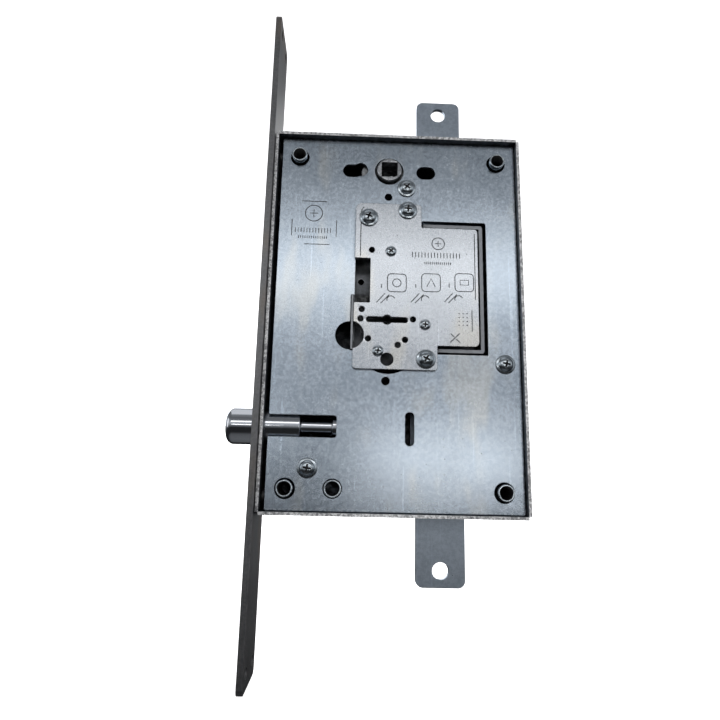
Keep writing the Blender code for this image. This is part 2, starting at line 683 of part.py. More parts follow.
def build_bolt_saddle():
    """Block on the carriage that fits behind the bolt's neck, between shoulder and collar."""
    low = (SADDLE_LEFT, SADDLE_FRONT_Y, BOLT_Z - SADDLE_HALF_HEIGHT)
    high = (COLLAR_X - GAP, CARRIAGE_FRONT_Y - GAP, BOLT_Z + SADDLE_HALF_HEIGHT)
    saddle = add_part("bolt_saddle", box_mesh(low, high), "inner")
    cut_along_x(saddle, NECK_RADIUS + GAP, 0, BOLT_Z, low[0] - OVERCUT, high[0] + OVERCUT)


def build_bolt_guide():
    """Upright bracket on the case floor that the bolt runs through."""
    low = (GUIDE_LEFT, COVER_BACK_Y + GAP, BOLT_Z - GUIDE_HALF_HEIGHT)
    high = (GUIDE_RIGHT, FLOOR_Y - GAP, BOLT_Z + GUIDE_HALF_HEIGHT)
    guide = add_part("bolt_guide", box_mesh(low, high), "inner")
    cut_along_x(guide, BOLT_RADIUS + GAP, 0, BOLT_Z, low[0] - OVERCUT, high[0] + OVERCUT)


def carriage_outline():
    """Return the carriage's edge: a plate with a finger for the hub's arm and an arm to the bolt."""
    finger = (HUB_X - FINGER_HALF_WIDTH, HUB_X + FINGER_HALF_WIDTH)
    arm_top = BOLT_Z + 9 * MM
    key_end = KEY_X + KEY_HALF_LENGTH + THROW
    key_low, key_high = KEY_Z - 2.5 * MM, KEY_Z + 2.5 * MM
    corners = [(CARRIAGE_ARM_END, CARRIAGE_BOTTOM + 2 * MM), (CARRIAGE_LEFT, CARRIAGE_BOTTOM),
               (CARRIAGE_RIGHT, CARRIAGE_BOTTOM), (CARRIAGE_RIGHT, CARRIAGE_TOP),
               (finger[1], CARRIAGE_TOP), (finger[1], FINGER_TOP), (finger[0], FINGER_TOP),
               (finger[0], CARRIAGE_TOP - 6 * MM), (CARRIAGE_LEFT, CARRIAGE_TOP - 10 * MM),
               (CARRIAGE_LEFT, key_high), (key_end, key_high), (key_end, key_low),
               (CARRIAGE_LEFT, key_low), (CARRIAGE_LEFT, arm_top), (CARRIAGE_ARM_END, arm_top)]
    radii = [2, 2, 3, 3, 2, 2, 2, 2, 2, 1, 1, 1, 1, 2, 2]
    return rounded(corners, [radius * MM for radius in radii], 3)


def build_carriage():
    """Slide plate behind everything else, which joins bolt, hub, rods and core."""
    slots = []
    for z in GUIDE_STUD_Z:
        slots.append(stadium((GUIDE_STUD_X - THROW, z), (GUIDE_STUD_X + THROW, z),
                             GUIDE_STUD_RADIUS + GAP, 6))
    pin_top = HUB_Z - HUB_ARM + HUB_ARM * (1 - math.cos(math.radians(30)))
    slots.append(stadium((HUB_X, HUB_Z - HUB_ARM), (HUB_X, pin_top), HUB_PIN_RADIUS + 1.6 * GAP, 6))
    slots += [circle(centre, LIGHTENING_RADIUS, 20) for centre in LIGHTENING_HOLES]
    plate("bolt_carriage", "inner", [carriage_outline()] + slots, CARRIAGE_FRONT_Y, CARRIAGE_THICK)


def build_carriage_pins():
    """Pins on the carriage that work the rods, and the stud that passes into the core."""
    foot = -CARRIAGE_FRONT_Y + GAP
    for place, z in (("top", TOP_DRIVE_Z), ("bottom", BOTTOM_DRIVE_Z)):
        profile = rod_profile(DRIVE_PIN_RADIUS, -ROD_FRONT_Y + 0.3 * MM, foot, 0.2 * MM)
        turned("drive_pin_" + place, "screw", profile, (DRIVE_PIN_X, 0, z), steps=16)
    low = (STUD_X - STUD_HALF, -6.5 * MM, STUD_Z - STUD_HALF)
    high = (STUD_X + STUD_HALF, CARRIAGE_FRONT_Y - GAP, STUD_Z + STUD_HALF)
    add_part("core_stud", box_mesh(low, high), "screw")


def build_guide_studs():
    """Headed studs on the case floor that the carriage slides on."""
    for place, z in zip(("upper", "lower"), GUIDE_STUD_Z):
        head = -CARRIAGE_FRONT_Y + GAP
        profile = [(0, head + 1.2 * MM), (3.6 * MM, head + 1.2 * MM), (3.6 * MM, head),
                   (GUIDE_STUD_RADIUS, head), (GUIDE_STUD_RADIUS, -FLOOR_Y + GAP), (0, -FLOOR_Y + GAP)]
        turned("guide_stud_" + place, "screw", profile, (GUIDE_STUD_X, 0, z), steps=18)


# ---------------------------------------------------------------- rods

def build_rod(name, sign, end, drive_z, foot_left, neck_left):
    """Flat bar with a drilled tab outside the case and a foot with a sloping slot inside it."""
    foot_in = drive_z - sign * FOOT_HALF_HEIGHT
    foot_out = drive_z + sign * FOOT_HALF_HEIGHT
    wall = (CASE_TOP if sign > 0 else CASE_BOTTOM) - sign * 0.5 * MM
    corners = [(foot_left, foot_in), (foot_left, foot_out), (neck_left, foot_out), (neck_left, wall),
               (TAB_LEFT, wall), (TAB_LEFT, end), (TAB_RIGHT, end), (TAB_RIGHT, foot_out),
               (FOOT_RIGHT, foot_out), (FOOT_RIGHT, foot_in)]
    radii = [2, 2, 1.5, 0.8, 0.8, 3.5, 3.5, 1.5, 2, 2]
    if neck_left == TAB_LEFT:
        del corners[3:5], radii[3:5]
    if sign > 0:
        corners.reverse()
        radii.reverse()
    run = Vector((THROW, sign * THROW))
    middle = Vector((DRIVE_PIN_X, drive_z))
    slot = stadium(tuple(middle - run), tuple(middle + run), DRIVE_PIN_RADIUS + GAP, 8)
    hole = circle(((TAB_LEFT + TAB_RIGHT) / 2, end - sign * TAB_HOLE_FROM_END), TAB_HOLE_RADIUS)
    outline = rounded(corners, [radius * MM for radius in radii])
    plate(name, "rod", [outline, slot, hole], ROD_FRONT_Y, ROD_THICK)


# ---------------------------------------------------------------- handle hub

def build_hub():
    """Square follower with its arm, and the pin at the arm's end. Both turn about the hub's axis."""
    front, back = -COVER_FACE_Y + HUB_PROUD, -CASE_HALF_DEPTH + 0.2 * MM
    body_top, body_bottom = -COVER_BACK_Y - 0.5 * MM, -FLOOR_Y + 0.5 * MM
    profile = [(0, front), (HUB_BOSS_RADIUS - 0.4 * MM, front), (HUB_BOSS_RADIUS, front - 0.4 * MM),
               (HUB_BOSS_RADIUS, body_top), (HUB_BODY_RADIUS, body_top), (HUB_BODY_RADIUS, body_bottom),
               (HUB_BOSS_RADIUS, body_bottom), (HUB_BOSS_RADIUS, back), (0, back)]
    hub = turned("handle_hub", "inner", profile, (HUB_X, 0, HUB_Z), steps=32)
    arm_end = (HUB_X, HUB_Z - HUB_ARM)
    arm = flat_mesh([stadium((HUB_X, HUB_Z), arm_end, HUB_ARM_HALF_WIDTH, 8),
                     circle(arm_end, HUB_PIN_RADIUS - 0.7 * MM + GAP, 12)], HUB_ARM_THICK)
    arm.transform(Matrix.Translation((0, HUB_ARM_FRONT_Y + HUB_ARM_THICK / 2, 0)))
    combine(hub, arm, "UNION")
    lobe = flat_mesh([stadium((HUB_X, HUB_Z), (HUB_X - HUB_LOBE_REACH, HUB_Z), HUB_LOBE_RADIUS, 8)],
                     HUB_LOBE_THICK)
    lobe.transform(Matrix.Translation((0, COVER_BACK_Y + 1 * MM + HUB_LOBE_THICK / 2, 0)))
    combine(hub, lobe, "UNION")
    half = HUB_SQUARE / 2
    square = rectangle(HUB_X - half, HUB_Z - half, HUB_X + half, HUB_Z + half)
    cut_outline(hub, square, -CASE_HALF_DEPTH, CASE_HALF_DEPTH + OVERCUT)
    pin_foot = -CARRIAGE_FRONT_Y - CARRIAGE_THICK
    arm_back = -HUB_ARM_FRONT_Y - HUB_ARM_THICK
    neck = HUB_PIN_RADIUS - 0.7 * MM
    pin = [(0, arm_back + HUB_ARM_THICK), (neck, arm_back + HUB_ARM_THICK), (neck, arm_back - GAP),
           (HUB_PIN_RADIUS, arm_back - GAP), (HUB_PIN_RADIUS, pin_foot), (0, pin_foot)]
    hub_pin = turned("hub_pin", "screw", pin, (HUB_X, 0, HUB_Z), steps=18)
    hub_pin.data.transform(Matrix.Translation((0, 0, -HUB_ARM)))


# ---------------------------------------------------------------- core

def build_core_plate():
    """Stepped plate over the cover, with the keyhole, an open notch and the pin holes."""
    corners = [(CORE_LEFT, CORE_BOTTOM), (CORE_LOBE_X, CORE_BOTTOM), (CORE_LOBE_X, CORE_LOWER_STEP),
               (CORE_RIGHT, CORE_LOWER_STEP), (CORE_RIGHT, CORE_SHOULDER), (CORE_STEP_X, CORE_SHOULDER),
               (CORE_STEP_X, CORE_TOP), (CORE_LEFT, CORE_TOP), (CORE_LEFT, NOTCH_TOP),
               (NOTCH_RIGHT, NOTCH_TOP), (NOTCH_RIGHT, NOTCH_BOTTOM), (CORE_LEFT, NOTCH_BOTTOM)]
    holes = [keyhole_outline(), circle(PLATE_HOLE, PLATE_HOLE_RADIUS, 20)]
    holes += [circle(centre, PIN_HOLE_RADIUS, 12) for centre in PIN_HOLES]
    holes += [circle(centre, COVER_SHANK_RADIUS + GAP, 12) for centre in PLATE_SCREWS]
    holes += [circle(centre, SHANK_RADIUS + GAP, 12) for centre in CORE_SCREWS]
    outline = rounded(corners, [radius * MM for radius in CORE_CORNER_RADII])
    piece = plate("core_plate", "core", [outline] + holes, CORE_FACE_Y, SHEET)
    cut_outline(piece, circle(ROUND_HOLE, ROUND_HOLE_RADIUS), CORE_FACE_Y - OVERCUT,
                CORE_FACE_Y + SHEET + OVERCUT)


def build_core_box():
    """Tray that carries the levers. Its rim fills the gap around the core plate's right part."""
    corners = [(BOX_LEFT, BOX_LOBE_BOTTOM), (BOX_LOBE_RIGHT, BOX_LOBE_BOTTOM), (BOX_LOBE_RIGHT, BOX_BOTTOM),
               (BOX_RIGHT, BOX_BOTTOM), (BOX_RIGHT, BOX_TOP), (BOX_LEFT, BOX_TOP)]
    core_box = plate("core_box", "core", [rounded(corners, 1.5 * MM, 3)],
                     BOX_RIM_Y, BOX_BACK_Y - BOX_RIM_Y)
    wall = BOX_WALL
    left, right, top = BOX_LEFT + wall, BOX_RIGHT - wall, BOX_TOP - wall
    inner = [(left, BOX_LOBE_BOTTOM + wall), (BOX_LOBE_RIGHT - wall, BOX_LOBE_BOTTOM + wall),
             (BOX_LOBE_RIGHT - wall, BOX_BOTTOM + wall), (right, BOX_BOTTOM + wall),
             (right, top), (left, top)]
    base_y = BOX_BACK_Y - SHEET
    cut_outline(core_box, inner, BOX_RIM_Y - OVERCUT, base_y)
    cut_box(core_box, (BOX_LEFT - OVERCUT, BOX_RIM_Y - OVERCUT, BOX_LOBE_BOTTOM - OVERCUT),
            (BOX_RIM_LEFT, COVER_BACK_Y + GAP, BOX_TOP + OVERCUT))
    strip = box_mesh((STRIP_X, STRIP_Y, STRIP_BOTTOM), (STRIP_X + STRIP_THICK, base_y - OVERCUT, STRIP_TOP))
    combine(core_box, strip, "UNION")
    span = (base_y - OVERCUT, BOX_BACK_Y + OVERCUT)
    cut_outline(core_box, keyhole_outline(), *span)
    travel = THROW + STUD_HALF + 0.5 * MM
    cut_outline(core_box, rectangle(STUD_X - travel, STUD_Z - STUD_HALF - 0.5 * MM,
                                    STUD_X + travel, STUD_Z + STUD_HALF + 0.5 * MM), *span)
    cut_outline(core_box, circle(NOTCH_HOLE, NOTCH_HOLE_RADIUS, 12), *span)
    cut_box(core_box, (BOX_LEFT - OVERCUT, SLIDER_FRONT_Y - GAP, SLIDER_BOTTOM - 2 * GAP),
            (BOX_LEFT + wall + OVERCUT, base_y, SLIDER_TOP + 2 * GAP))


def build_core_fixings():
    """Spacer pillars under the core screws, the levers' guide pin and the drill plate."""
    for index, (x, z) in enumerate(CORE_SCREWS, 1):
        top, bottom = -COVER_FACE_Y, -(BOX_BACK_Y - SHEET) + GAP
        profile = blind_profile(SPACER_RADIUS, SHANK_RADIUS + GAP, top, bottom, bottom + 2 * MM)
        turned(f"core_pillar_{index}", "inner", profile, (x, 0, z), steps=14)
    profile = rod_profile(LEVER_PIN_RADIUS, -LEVER_FIRST_Y, -(BOX_BACK_Y - SHEET) + GAP, 0.2 * MM)
    turned("lever_guide_pin", "screw", profile, (LEVER_PIN[0], 0, LEVER_PIN[1]), steps=14)
    reach = KEY_HALF_LENGTH + 2.5 * MM
    outline = rounded(rectangle(KEY_X - reach, KEY_Z - 7 * MM, KEY_X + reach, KEY_Z + 7 * MM), 1 * MM, 3)
    thickness = LEVER_FIRST_Y - GAP - COVER_FACE_Y
    plate("drill_plate", "inner", [outline, keyhole_outline()], COVER_FACE_Y, thickness)


def build_slider():
    """Bar with three talons that the key pushes, forked over the carriage's stud."""
    fork = STUD_HALF + GAP
    corners = [(SLIDER_LEFT, SLIDER_BOTTOM), (83.5 * MM, SLIDER_BOTTOM), (83.5 * MM, STUD_Z - STUD_HALF),
               (STUD_X - fork, STUD_Z - STUD_HALF), (STUD_X - fork, STUD_Z + fork),
               (STUD_X + fork, STUD_Z + fork), (STUD_X + fork, STUD_Z - STUD_HALF),
               (SLIDER_RIGHT, STUD_Z - STUD_HALF), (SLIDER_RIGHT, SLIDER_TOP), (SLIDER_LEFT, SLIDER_TOP)]
    slider = plate("core_slider", "inner", [corners], SLIDER_FRONT_Y, SLIDER_THICK)
    for step in (-1, 0, 1):
        centre = (KEY_X + (step - 0.5) * THROW, SLIDER_BOTTOM)
        cut_outline(slider, circle(centre, 3.6 * MM, 16), SLIDER_FRONT_Y - OVERCUT,
                    SLIDER_FRONT_Y + SLIDER_THICK + OVERCUT)


def lever_outline(gate_x):
    """Return a lever's edge: arched over the key, with a gate in its lower edge."""
    rise = LEVER_BOTTOM - KEY_Z
    start = math.degrees(math.asin(rise / LEVER_BELLY_RADIUS))
    stop = math.degrees(math.acos((LEVER_LEFT - KEY_X) / LEVER_BELLY_RADIUS))
    gate = 2.6 * MM
    depth = 4 * MM
    return ([(LEVER_LEFT, LEVER_TOP), (LEVER_RIGHT, LEVER_TOP), (LEVER_RIGHT, LEVER_BOTTOM),
             (gate_x + gate, LEVER_BOTTOM), (gate_x + gate, LEVER_BOTTOM + depth),
             (gate_x - gate, LEVER_BOTTOM + depth), (gate_x - gate, LEVER_BOTTOM)]
            + arc((KEY_X, KEY_Z), LEVER_BELLY_RADIUS, start, stop, 5))


def wave(x):
    """Return the height share of a three-bend spring at a place along it, from 0 to 1."""
    return 0.5 + 0.5 * math.cos(x * 3 * math.pi)


def build_lever(index):
    """One sliding lever with its two guide slots, and the bent wire spring above it."""
    front = LEVER_FIRST_Y + index * LEVER_PITCH
    gate_x = LEVER_RIGHT - 8 * MM - (index * 5 % LEVER_COUNT) * 3.4 * MM
    screw_x, screw_z = CORE_SCREWS[0]
    slots = [stadium((screw_x, screw_z - LEVER_LIFT), (screw_x, screw_z), SPACER_RADIUS + GAP, 5),
             stadium((LEVER_PIN[0], LEVER_PIN[1] - LEVER_LIFT), LEVER_PIN, LEVER_PIN_RADIUS + GAP, 5)]
    plate(f"lever_{index + 1}", "lever", [lever_outline(gate_x)] + slots, front, LEVER_THICK)
    low = LEVER_TOP + SPRING_WIRE + 0.2 * MM
    high = BOX_TOP - BOX_WALL - SPRING_WIRE - 0.2 * MM
    curve = bpy.data.curves.new("spring", "CURVE")
    curve.dimensions = "3D"
    curve.bevel_depth = SPRING_WIRE
    curve.bevel_resolution = 1
    curve.use_fill_caps = True
    spline = curve.splines.new("POLY")
    count = 13
    spline.points.add(count - 1)
    for step, point in enumerate(spline.points):
        share = step / (count - 1)
        x = (2 * share - 1) * SPRING_HALF_WIDTH
        point.co = (x, 0, low + (high - low) * wave(share), 1)
    shape = bpy.data.objects.new("spring", curve)
    PARTS.objects.link(shape)
    mesh = mesh_from(shape)
    add_part(f"lever_spring_{index + 1}", mesh, "spring", (SPRING_X, front + LEVER_THICK / 2, 0))


def build_lock():
    """Build every piece of the lock."""
    build_forend()
    build_rivets()
    build_case()
    build_cover()
    build_posts()
    build_cover_pillars()
    build_screws()
    build_deadbolt()
    build_bolt_saddle()
    build_bolt_guide()
    build_carriage()
    build_carriage_pins()
    build_guide_studs()
    build_rod("top_rod", 1, TOP_ROD_END, TOP_DRIVE_Z, TOP_FOOT_LEFT, NECK_LEFT)
    build_rod("bottom_rod", -1, BOTTOM_ROD_END, BOTTOM_DRIVE_Z, BOTTOM_FOOT_LEFT, TAB_LEFT)
    build_hub()
    build_core_plate()
    build_core_box()
    build_core_fixings()
    build_slider()
    for index in range(LEVER_COUNT):
        build_lever(index)


build_lock()
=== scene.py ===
"""Finished look of a mortise lock, built over its fixed frame of working parts."""

import json
import logging
import math
from dataclasses import dataclass, field
from enum import Enum

import bmesh
import bpy
from mathutils import Matrix, Vector


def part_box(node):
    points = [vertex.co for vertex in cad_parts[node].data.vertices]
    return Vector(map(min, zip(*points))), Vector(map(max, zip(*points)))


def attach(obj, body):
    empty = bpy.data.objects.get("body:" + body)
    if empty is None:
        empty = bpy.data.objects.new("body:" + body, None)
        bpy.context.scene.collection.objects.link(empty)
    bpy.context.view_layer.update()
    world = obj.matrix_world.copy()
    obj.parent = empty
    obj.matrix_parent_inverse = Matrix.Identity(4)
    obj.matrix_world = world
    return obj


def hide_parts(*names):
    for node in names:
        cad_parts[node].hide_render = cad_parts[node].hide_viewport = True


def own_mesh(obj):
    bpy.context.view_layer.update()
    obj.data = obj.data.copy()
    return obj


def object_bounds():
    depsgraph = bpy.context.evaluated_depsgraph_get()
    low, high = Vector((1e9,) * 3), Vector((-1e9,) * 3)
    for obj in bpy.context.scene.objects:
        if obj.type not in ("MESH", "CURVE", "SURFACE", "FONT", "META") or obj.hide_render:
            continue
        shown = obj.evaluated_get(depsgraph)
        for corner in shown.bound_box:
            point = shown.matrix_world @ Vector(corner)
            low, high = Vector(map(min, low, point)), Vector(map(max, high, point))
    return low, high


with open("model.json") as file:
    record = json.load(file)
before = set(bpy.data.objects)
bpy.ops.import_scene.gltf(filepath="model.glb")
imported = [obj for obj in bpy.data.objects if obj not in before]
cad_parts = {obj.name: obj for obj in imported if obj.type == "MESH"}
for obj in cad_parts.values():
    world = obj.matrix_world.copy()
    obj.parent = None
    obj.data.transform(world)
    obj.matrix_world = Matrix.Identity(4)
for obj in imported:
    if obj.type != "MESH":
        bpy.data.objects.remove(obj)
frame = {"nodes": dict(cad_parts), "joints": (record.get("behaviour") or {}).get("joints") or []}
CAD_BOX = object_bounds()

MM = 0.001
BAR_X = 91
SHEET = 1.5
BOLT_PASS = 9.4
SCREW_PASS = 1.8
POST_PLACES = ("top_front", "top_back", "bottom_front", "bottom_back")
LOG = logging.getLogger("mortise_lock")

Point = tuple[float, float]
Outline = list[Point]


# ---------------------------------------------------------------- outlines, in millimetres

def arc(centre: Point, radius: float, start: float, stop: float, steps: int = 12) -> Outline:
    """Make the points of an arc.

    Args:
        centre: Middle of the arc.
        radius: Radius of the arc.
        start: First angle in degrees.
        stop: Last angle in degrees.
        steps: Number of chords.

    Returns:
        The points, both ends included.
    """
    angles = [math.radians(start + (stop - start) * i / steps) for i in range(steps + 1)]
    return [(centre[0] + radius * math.cos(a), centre[1] + radius * math.sin(a)) for a in angles]


def circle(centre: Point, radius: float, steps: int = 48) -> Outline:
    """Return a full circle's points without a repeated end."""
    return arc(centre, radius, 0, 360, steps)[:-1]


def rectangle(left: float, bottom: float, right: float, top: float) -> Outline:
    """Return a rectangle's corners."""
    return [(left, bottom), (right, bottom), (right, top), (left, top)]


def stadium(first: Point, last: Point, radius: float, steps: int = 14) -> Outline:
    """Make a slot with round ends.

    Args:
        first: Centre of one end.
        last: Centre of the other end.
        radius: Half of the slot's width.
        steps: Chords in each round end.

    Returns:
        The slot's outline.
    """
    turn = math.degrees(math.atan2(last[1] - first[1], last[0] - first[0]))
    return (arc(last, radius, turn - 90, turn + 90, steps)
            + arc(first, radius, turn + 90, turn + 270, steps))


def rounded(corners: Outline, radii: list[float], steps: int = 6) -> Outline:
    """Round the corners of a polygon.

    Args:
        corners: Polygon corners in order.
        radii: One radius for each corner; zero keeps a corner sharp.
        steps: Chords in each rounded corner.

    Returns:
        The rounded outline.
    """
    outline: Outline = []
    count = len(corners)
    for index, radius in enumerate(radii):
        corner = Vector(corners[index])
        if radius <= 0:
            outline.append(tuple(corner))
            continue
        before = (Vector(corners[index - 1]) - corner).normalized()
        after = (Vector(corners[(index + 1) % count]) - corner).normalized()
        half = math.acos(max(-1.0, min(1.0, before.dot(after)))) / 2
        reach = radius / math.tan(half)
        centre = corner + (before + after).normalized() * radius / math.sin(half)
        first = corner + before * reach - centre
        sweep = first.angle_signed(corner + after * reach - centre)
        for step in range(steps + 1):
            outline.append(tuple(centre + Matrix.Rotation(-sweep * step / steps, 2) @ first))
    return outline


def merged(first: Outline, second: Outline, middle: Point) -> Outline:
    """Join two overlapping holes into one outline.

    Args:
        first: One convex outline.
        second: Another convex outline that overlaps it.
        middle: A point inside both.

    Returns:
        The outer edge of the two together.
    """
    def inside(point: Point, shape: Outline) -> bool:
        """Tell whether a point lies inside a convex outline that runs anticlockwise."""
        pairs = zip(shape, shape[1:] + shape[:1])
        return all((b[0] - a[0]) * (point[1] - a[1]) - (b[1] - a[1]) * (point[0] - a[0]) > 0
                   for a, b in pairs)

    kept = [p for p in first if not inside(p, second)] + [p for p in second if not inside(p, first)]
    return sorted(kept, key=lambda p: math.atan2(p[1] - middle[1], p[0] - middle[0]))


# ---------------------------------------------------------------- meshes

class Axis(Enum):
    """Way that a turned piece's profile heights run."""

    COVER = Matrix.Rotation(math.pi / 2, 4, "X")
    DOOR_EDGE = Matrix.Rotation(-math.pi / 2, 4, "Y")


class Workshop:
    """Shared mesh tools. Lengths go in as millimetres and meshes come out in metres."""

    @staticmethod
    def baked(shape: bpy.types.Object) -> bpy.types.Mesh:
        """Turn an object into a plain mesh and remove the object.

        Args:
            shape: Curve or mesh object with its modifiers.

        Returns:
            The evaluated mesh.
        """
        if shape.name not in bpy.context.scene.collection.objects:
            bpy.context.scene.collection.objects.link(shape)
        graph = bpy.context.evaluated_depsgraph_get()
        graph.update()
        mesh = bpy.data.meshes.new_from_object(shape.evaluated_get(graph), depsgraph=graph)
        bpy.data.objects.remove(shape, do_unlink=True)
        builder = bmesh.new()
        builder.from_mesh(mesh)
        bmesh.ops.remove_doubles(builder, verts=builder.verts, dist=0.002 * MM)
        bmesh.ops.recalc_face_normals(builder, faces=builder.faces)
        builder.to_mesh(mesh)
        builder.free()
        return mesh

    @classmethod
    def plate(cls, outlines: list[Outline], front: float, thickness: float,
              edge: float = 0.15) -> bpy.types.Mesh:
        """Make a flat plate with softened edges, facing the cover side.

        Args:
            outlines: Outer edge first, then the holes.
            front: Depth of the front face.
            thickness: Thickness of the plate.
            edge: Radius of the softened edges.

        Returns:
            The plate's mesh.
        """
        curve = bpy.data.curves.new("outline", "CURVE")
        curve.dimensions = "2D"
        curve.fill_mode = "BOTH"
        curve.extrude = (thickness / 2 - edge) * MM
        curve.bevel_depth = edge * MM
        curve.bevel_resolution = 2
        curve.offset = -edge * MM
        for outline in outlines:
            spline = curve.splines.new("POLY")
            spline.points.add(len(outline) - 1)
            for point, (x, z) in zip(spline.points, outline):
                point.co = (x * MM, z * MM, 0, 1)
            spline.use_cyclic_u = True
        mesh = cls.baked(bpy.data.objects.new("outline", curve))
        mesh.transform(Matrix.Translation((0, (front + thickness / 2) * MM, 0)) @ Axis.COVER.value)
        return mesh

    @classmethod
    def turned(cls, profile: Outline, axis: Axis, centre: tuple[float, float, float],
               steps: int = 64, closed: bool = False) -> bpy.types.Mesh:
        """Turn a profile into a round piece.

        Args:
            profile: Radius and height of each point.
            axis: Way that the heights run.
            centre: Place of height zero.
            steps: Facets round the piece.
            closed: True for a profile that closes on itself, such as a tube.

        Returns:
            The turned mesh.
        """
        mesh = bpy.data.meshes.new("profile")
        count = len(profile)
        edges = [(i, i + 1) for i in range(count - 1)] + ([(count - 1, 0)] if closed else [])
        mesh.from_pydata([(r * MM, 0, h * MM) for r, h in profile], edges, [])
        shape = bpy.data.objects.new("profile", mesh)
        screw = shape.modifiers.new("turn", "SCREW")
        screw.steps = screw.render_steps = steps
        screw.use_merge_vertices = True
        screw.merge_threshold = 0.005 * MM
        made = cls.baked(shape)
        made.transform(Matrix.Translation(Vector(centre) * MM) @ axis.value)
        return made

    @staticmethod
    def block(low: tuple[float, float, float], high: tuple[float, float, float],
              edge: float = 0.0, where: str = "") -> bpy.types.Mesh:
        """Make a box, with some of its edges rounded.

        Args:
            low: Lowest corner.
            high: Highest corner.
            edge: Radius of the rounded edges.
            where: "back" rounds the four edges of the +Y face.

        Returns:
            The box's mesh.
        """
        builder = bmesh.new()
        bmesh.ops.create_cube(builder, size=1.0)
        for vert in builder.verts:
            vert.co = [((b if c > 0 else a)) * MM for c, a, b in zip(vert.co, low, high)]
        if edge and where == "back":
            back = [e for e in builder.edges if all(v.co.y > high[1] * MM - 1e-6 for v in e.verts)]
            bmesh.ops.bevel(builder, geom=back, offset=edge * MM, segments=5, profile=0.5,
                            affect="EDGES")
        mesh = bpy.data.meshes.new("block")
        builder.to_mesh(mesh)
        builder.free()
        return mesh

    @classmethod
    def tubes(cls, paths: list[tuple[Outline, bool]], depth: float, radius: float) -> bpy.types.Mesh:
        """Make round strokes that lie in one plane, for engraving.

        Args:
            paths: Points of each stroke, and whether it closes on itself.
            depth: Depth of the strokes' middle line.
            radius: Radius of a stroke.

        Returns:
            One mesh of closed tubes.
        """
        curve = bpy.data.curves.new("strokes", "CURVE")
        curve.dimensions = "3D"
        curve.bevel_depth = radius * MM
        curve.bevel_resolution = 1
        curve.use_fill_caps = True
        for path, closed in paths:
            spline = curve.splines.new("POLY")
            spline.points.add(len(path) - 1)
            for point, (x, z) in zip(spline.points, path):
                point.co = (x * MM, depth * MM, z * MM, 1)
            spline.use_cyclic_u = closed
        return cls.baked(bpy.data.objects.new("strokes", curve))

    @classmethod
    def cut(cls, mesh: bpy.types.Mesh, tools: list[bpy.types.Mesh], join: bool = False,
            soften: float = 0.0, tools_cross: bool = False) -> bpy.types.Mesh:
        """Cut meshes out of another, or join them on.

        Args:
            mesh: Piece to work on.
            tools: Meshes to cut away or join.
            join: True to join instead of cutting.
            soften: Width of a small bevel put on the sharp edges afterwards.
            tools_cross: True when parts of one tool run into each other.

        Returns:
            The new mesh.

        Raises:
            RuntimeError: The cut left no faces.
        """
        piece = bpy.data.objects.new("blank", mesh)
        bpy.context.scene.collection.objects.link(piece)
        helpers = []
        for tool in tools:
            helper = bpy.data.objects.new("tool", tool)
            bpy.context.scene.collection.objects.link(helper)
            helpers.append(helper)
            step = piece.modifiers.new("cut", "BOOLEAN")
            step.operation = "UNION" if join else "DIFFERENCE"
            step.solver = "EXACT"
            step.use_self = tools_cross
            step.material_mode = "TRANSFER"
            step.object = helper
        if soften:
            bevel = piece.modifiers.new("soften", "BEVEL")
            bevel.width = soften * MM
            bevel.segments = 2
            bevel.limit_method = "ANGLE"
            bevel.angle_limit = math.radians(35)
            bevel.use_clamp_overlap = True
        made = cls.baked(piece)
        for helper in helpers:
            bpy.data.objects.remove(helper, do_unlink=True)
        if not made.polygons:
            raise RuntimeError("a cut left no faces")
        return made


@dataclass
class Piece:
    """One finished piece: a mesh with its material, riding on a body of the lock."""

    name: str
    mesh: bpy.types.Mesh
    body: str
    material: bpy.types.Material
    slot: str
    stands_for: tuple[str, ...] = ()
    smooth_angle: float = 32.0

    def place(self) -> bpy.types.Object:
        """Put the piece in the scene and tie it to its body.

        Returns:
            The finished object.
        """
        self.mesh.name = self.name
        self.mesh.shade_smooth()
        self.mesh.set_sharp_from_angle(angle=math.radians(self.smooth_angle))
        if self.mesh.materials:
            self.mesh.materials[0] = self.material
        else:
            self.mesh.materials.append(self.material)
        thing = bpy.data.objects.new(self.name, self.mesh)
        bpy.context.scene.collection.objects.link(thing)
        weighted = thing.modifiers.new("even_normals", "WEIGHTED_NORMAL")
        weighted.keep_sharp = True
        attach(thing, self.body)
        if self.stands_for:
            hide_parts(*self.stands_for)
        LOG.info("built %s on %s, %d faces", self.name, self.body, len(self.mesh.polygons))
        return thing


def place_of(node: str) -> tuple[Vector, Vector]:
    """Return a frame node's lowest and highest corners in millimetres."""
    low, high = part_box(node)
    return Vector(low) / MM, Vector(high) / MM


def middle_of(node: str) -> Vector:
    """Return the middle of a frame node's box in millimetres."""
    low, high = place_of(node)
    return (low + high) / 2


def hinge_place(joint: str) -> Vector:
    """Return the place of a hinge in millimetres."""
    return next(Vector(entry["pos_m"]) for entry in frame["joints"] if entry["name"] == joint) / MM


# ---------------------------------------------------------------- finishes

Colour = tuple[float, float, float]


class Grain(Enum):
    """Way that a metal's fine lines run: noise scales along X, Y and Z, per metre."""

    UPRIGHT = (2600.0, 2600.0, 90.0)
    LEVEL = (90.0, 2600.0, 2600.0)
    EVEN = (1500.0, 1500.0, 1500.0)
    ALONG_BOLT = (60.0, 3000.0, 3000.0)


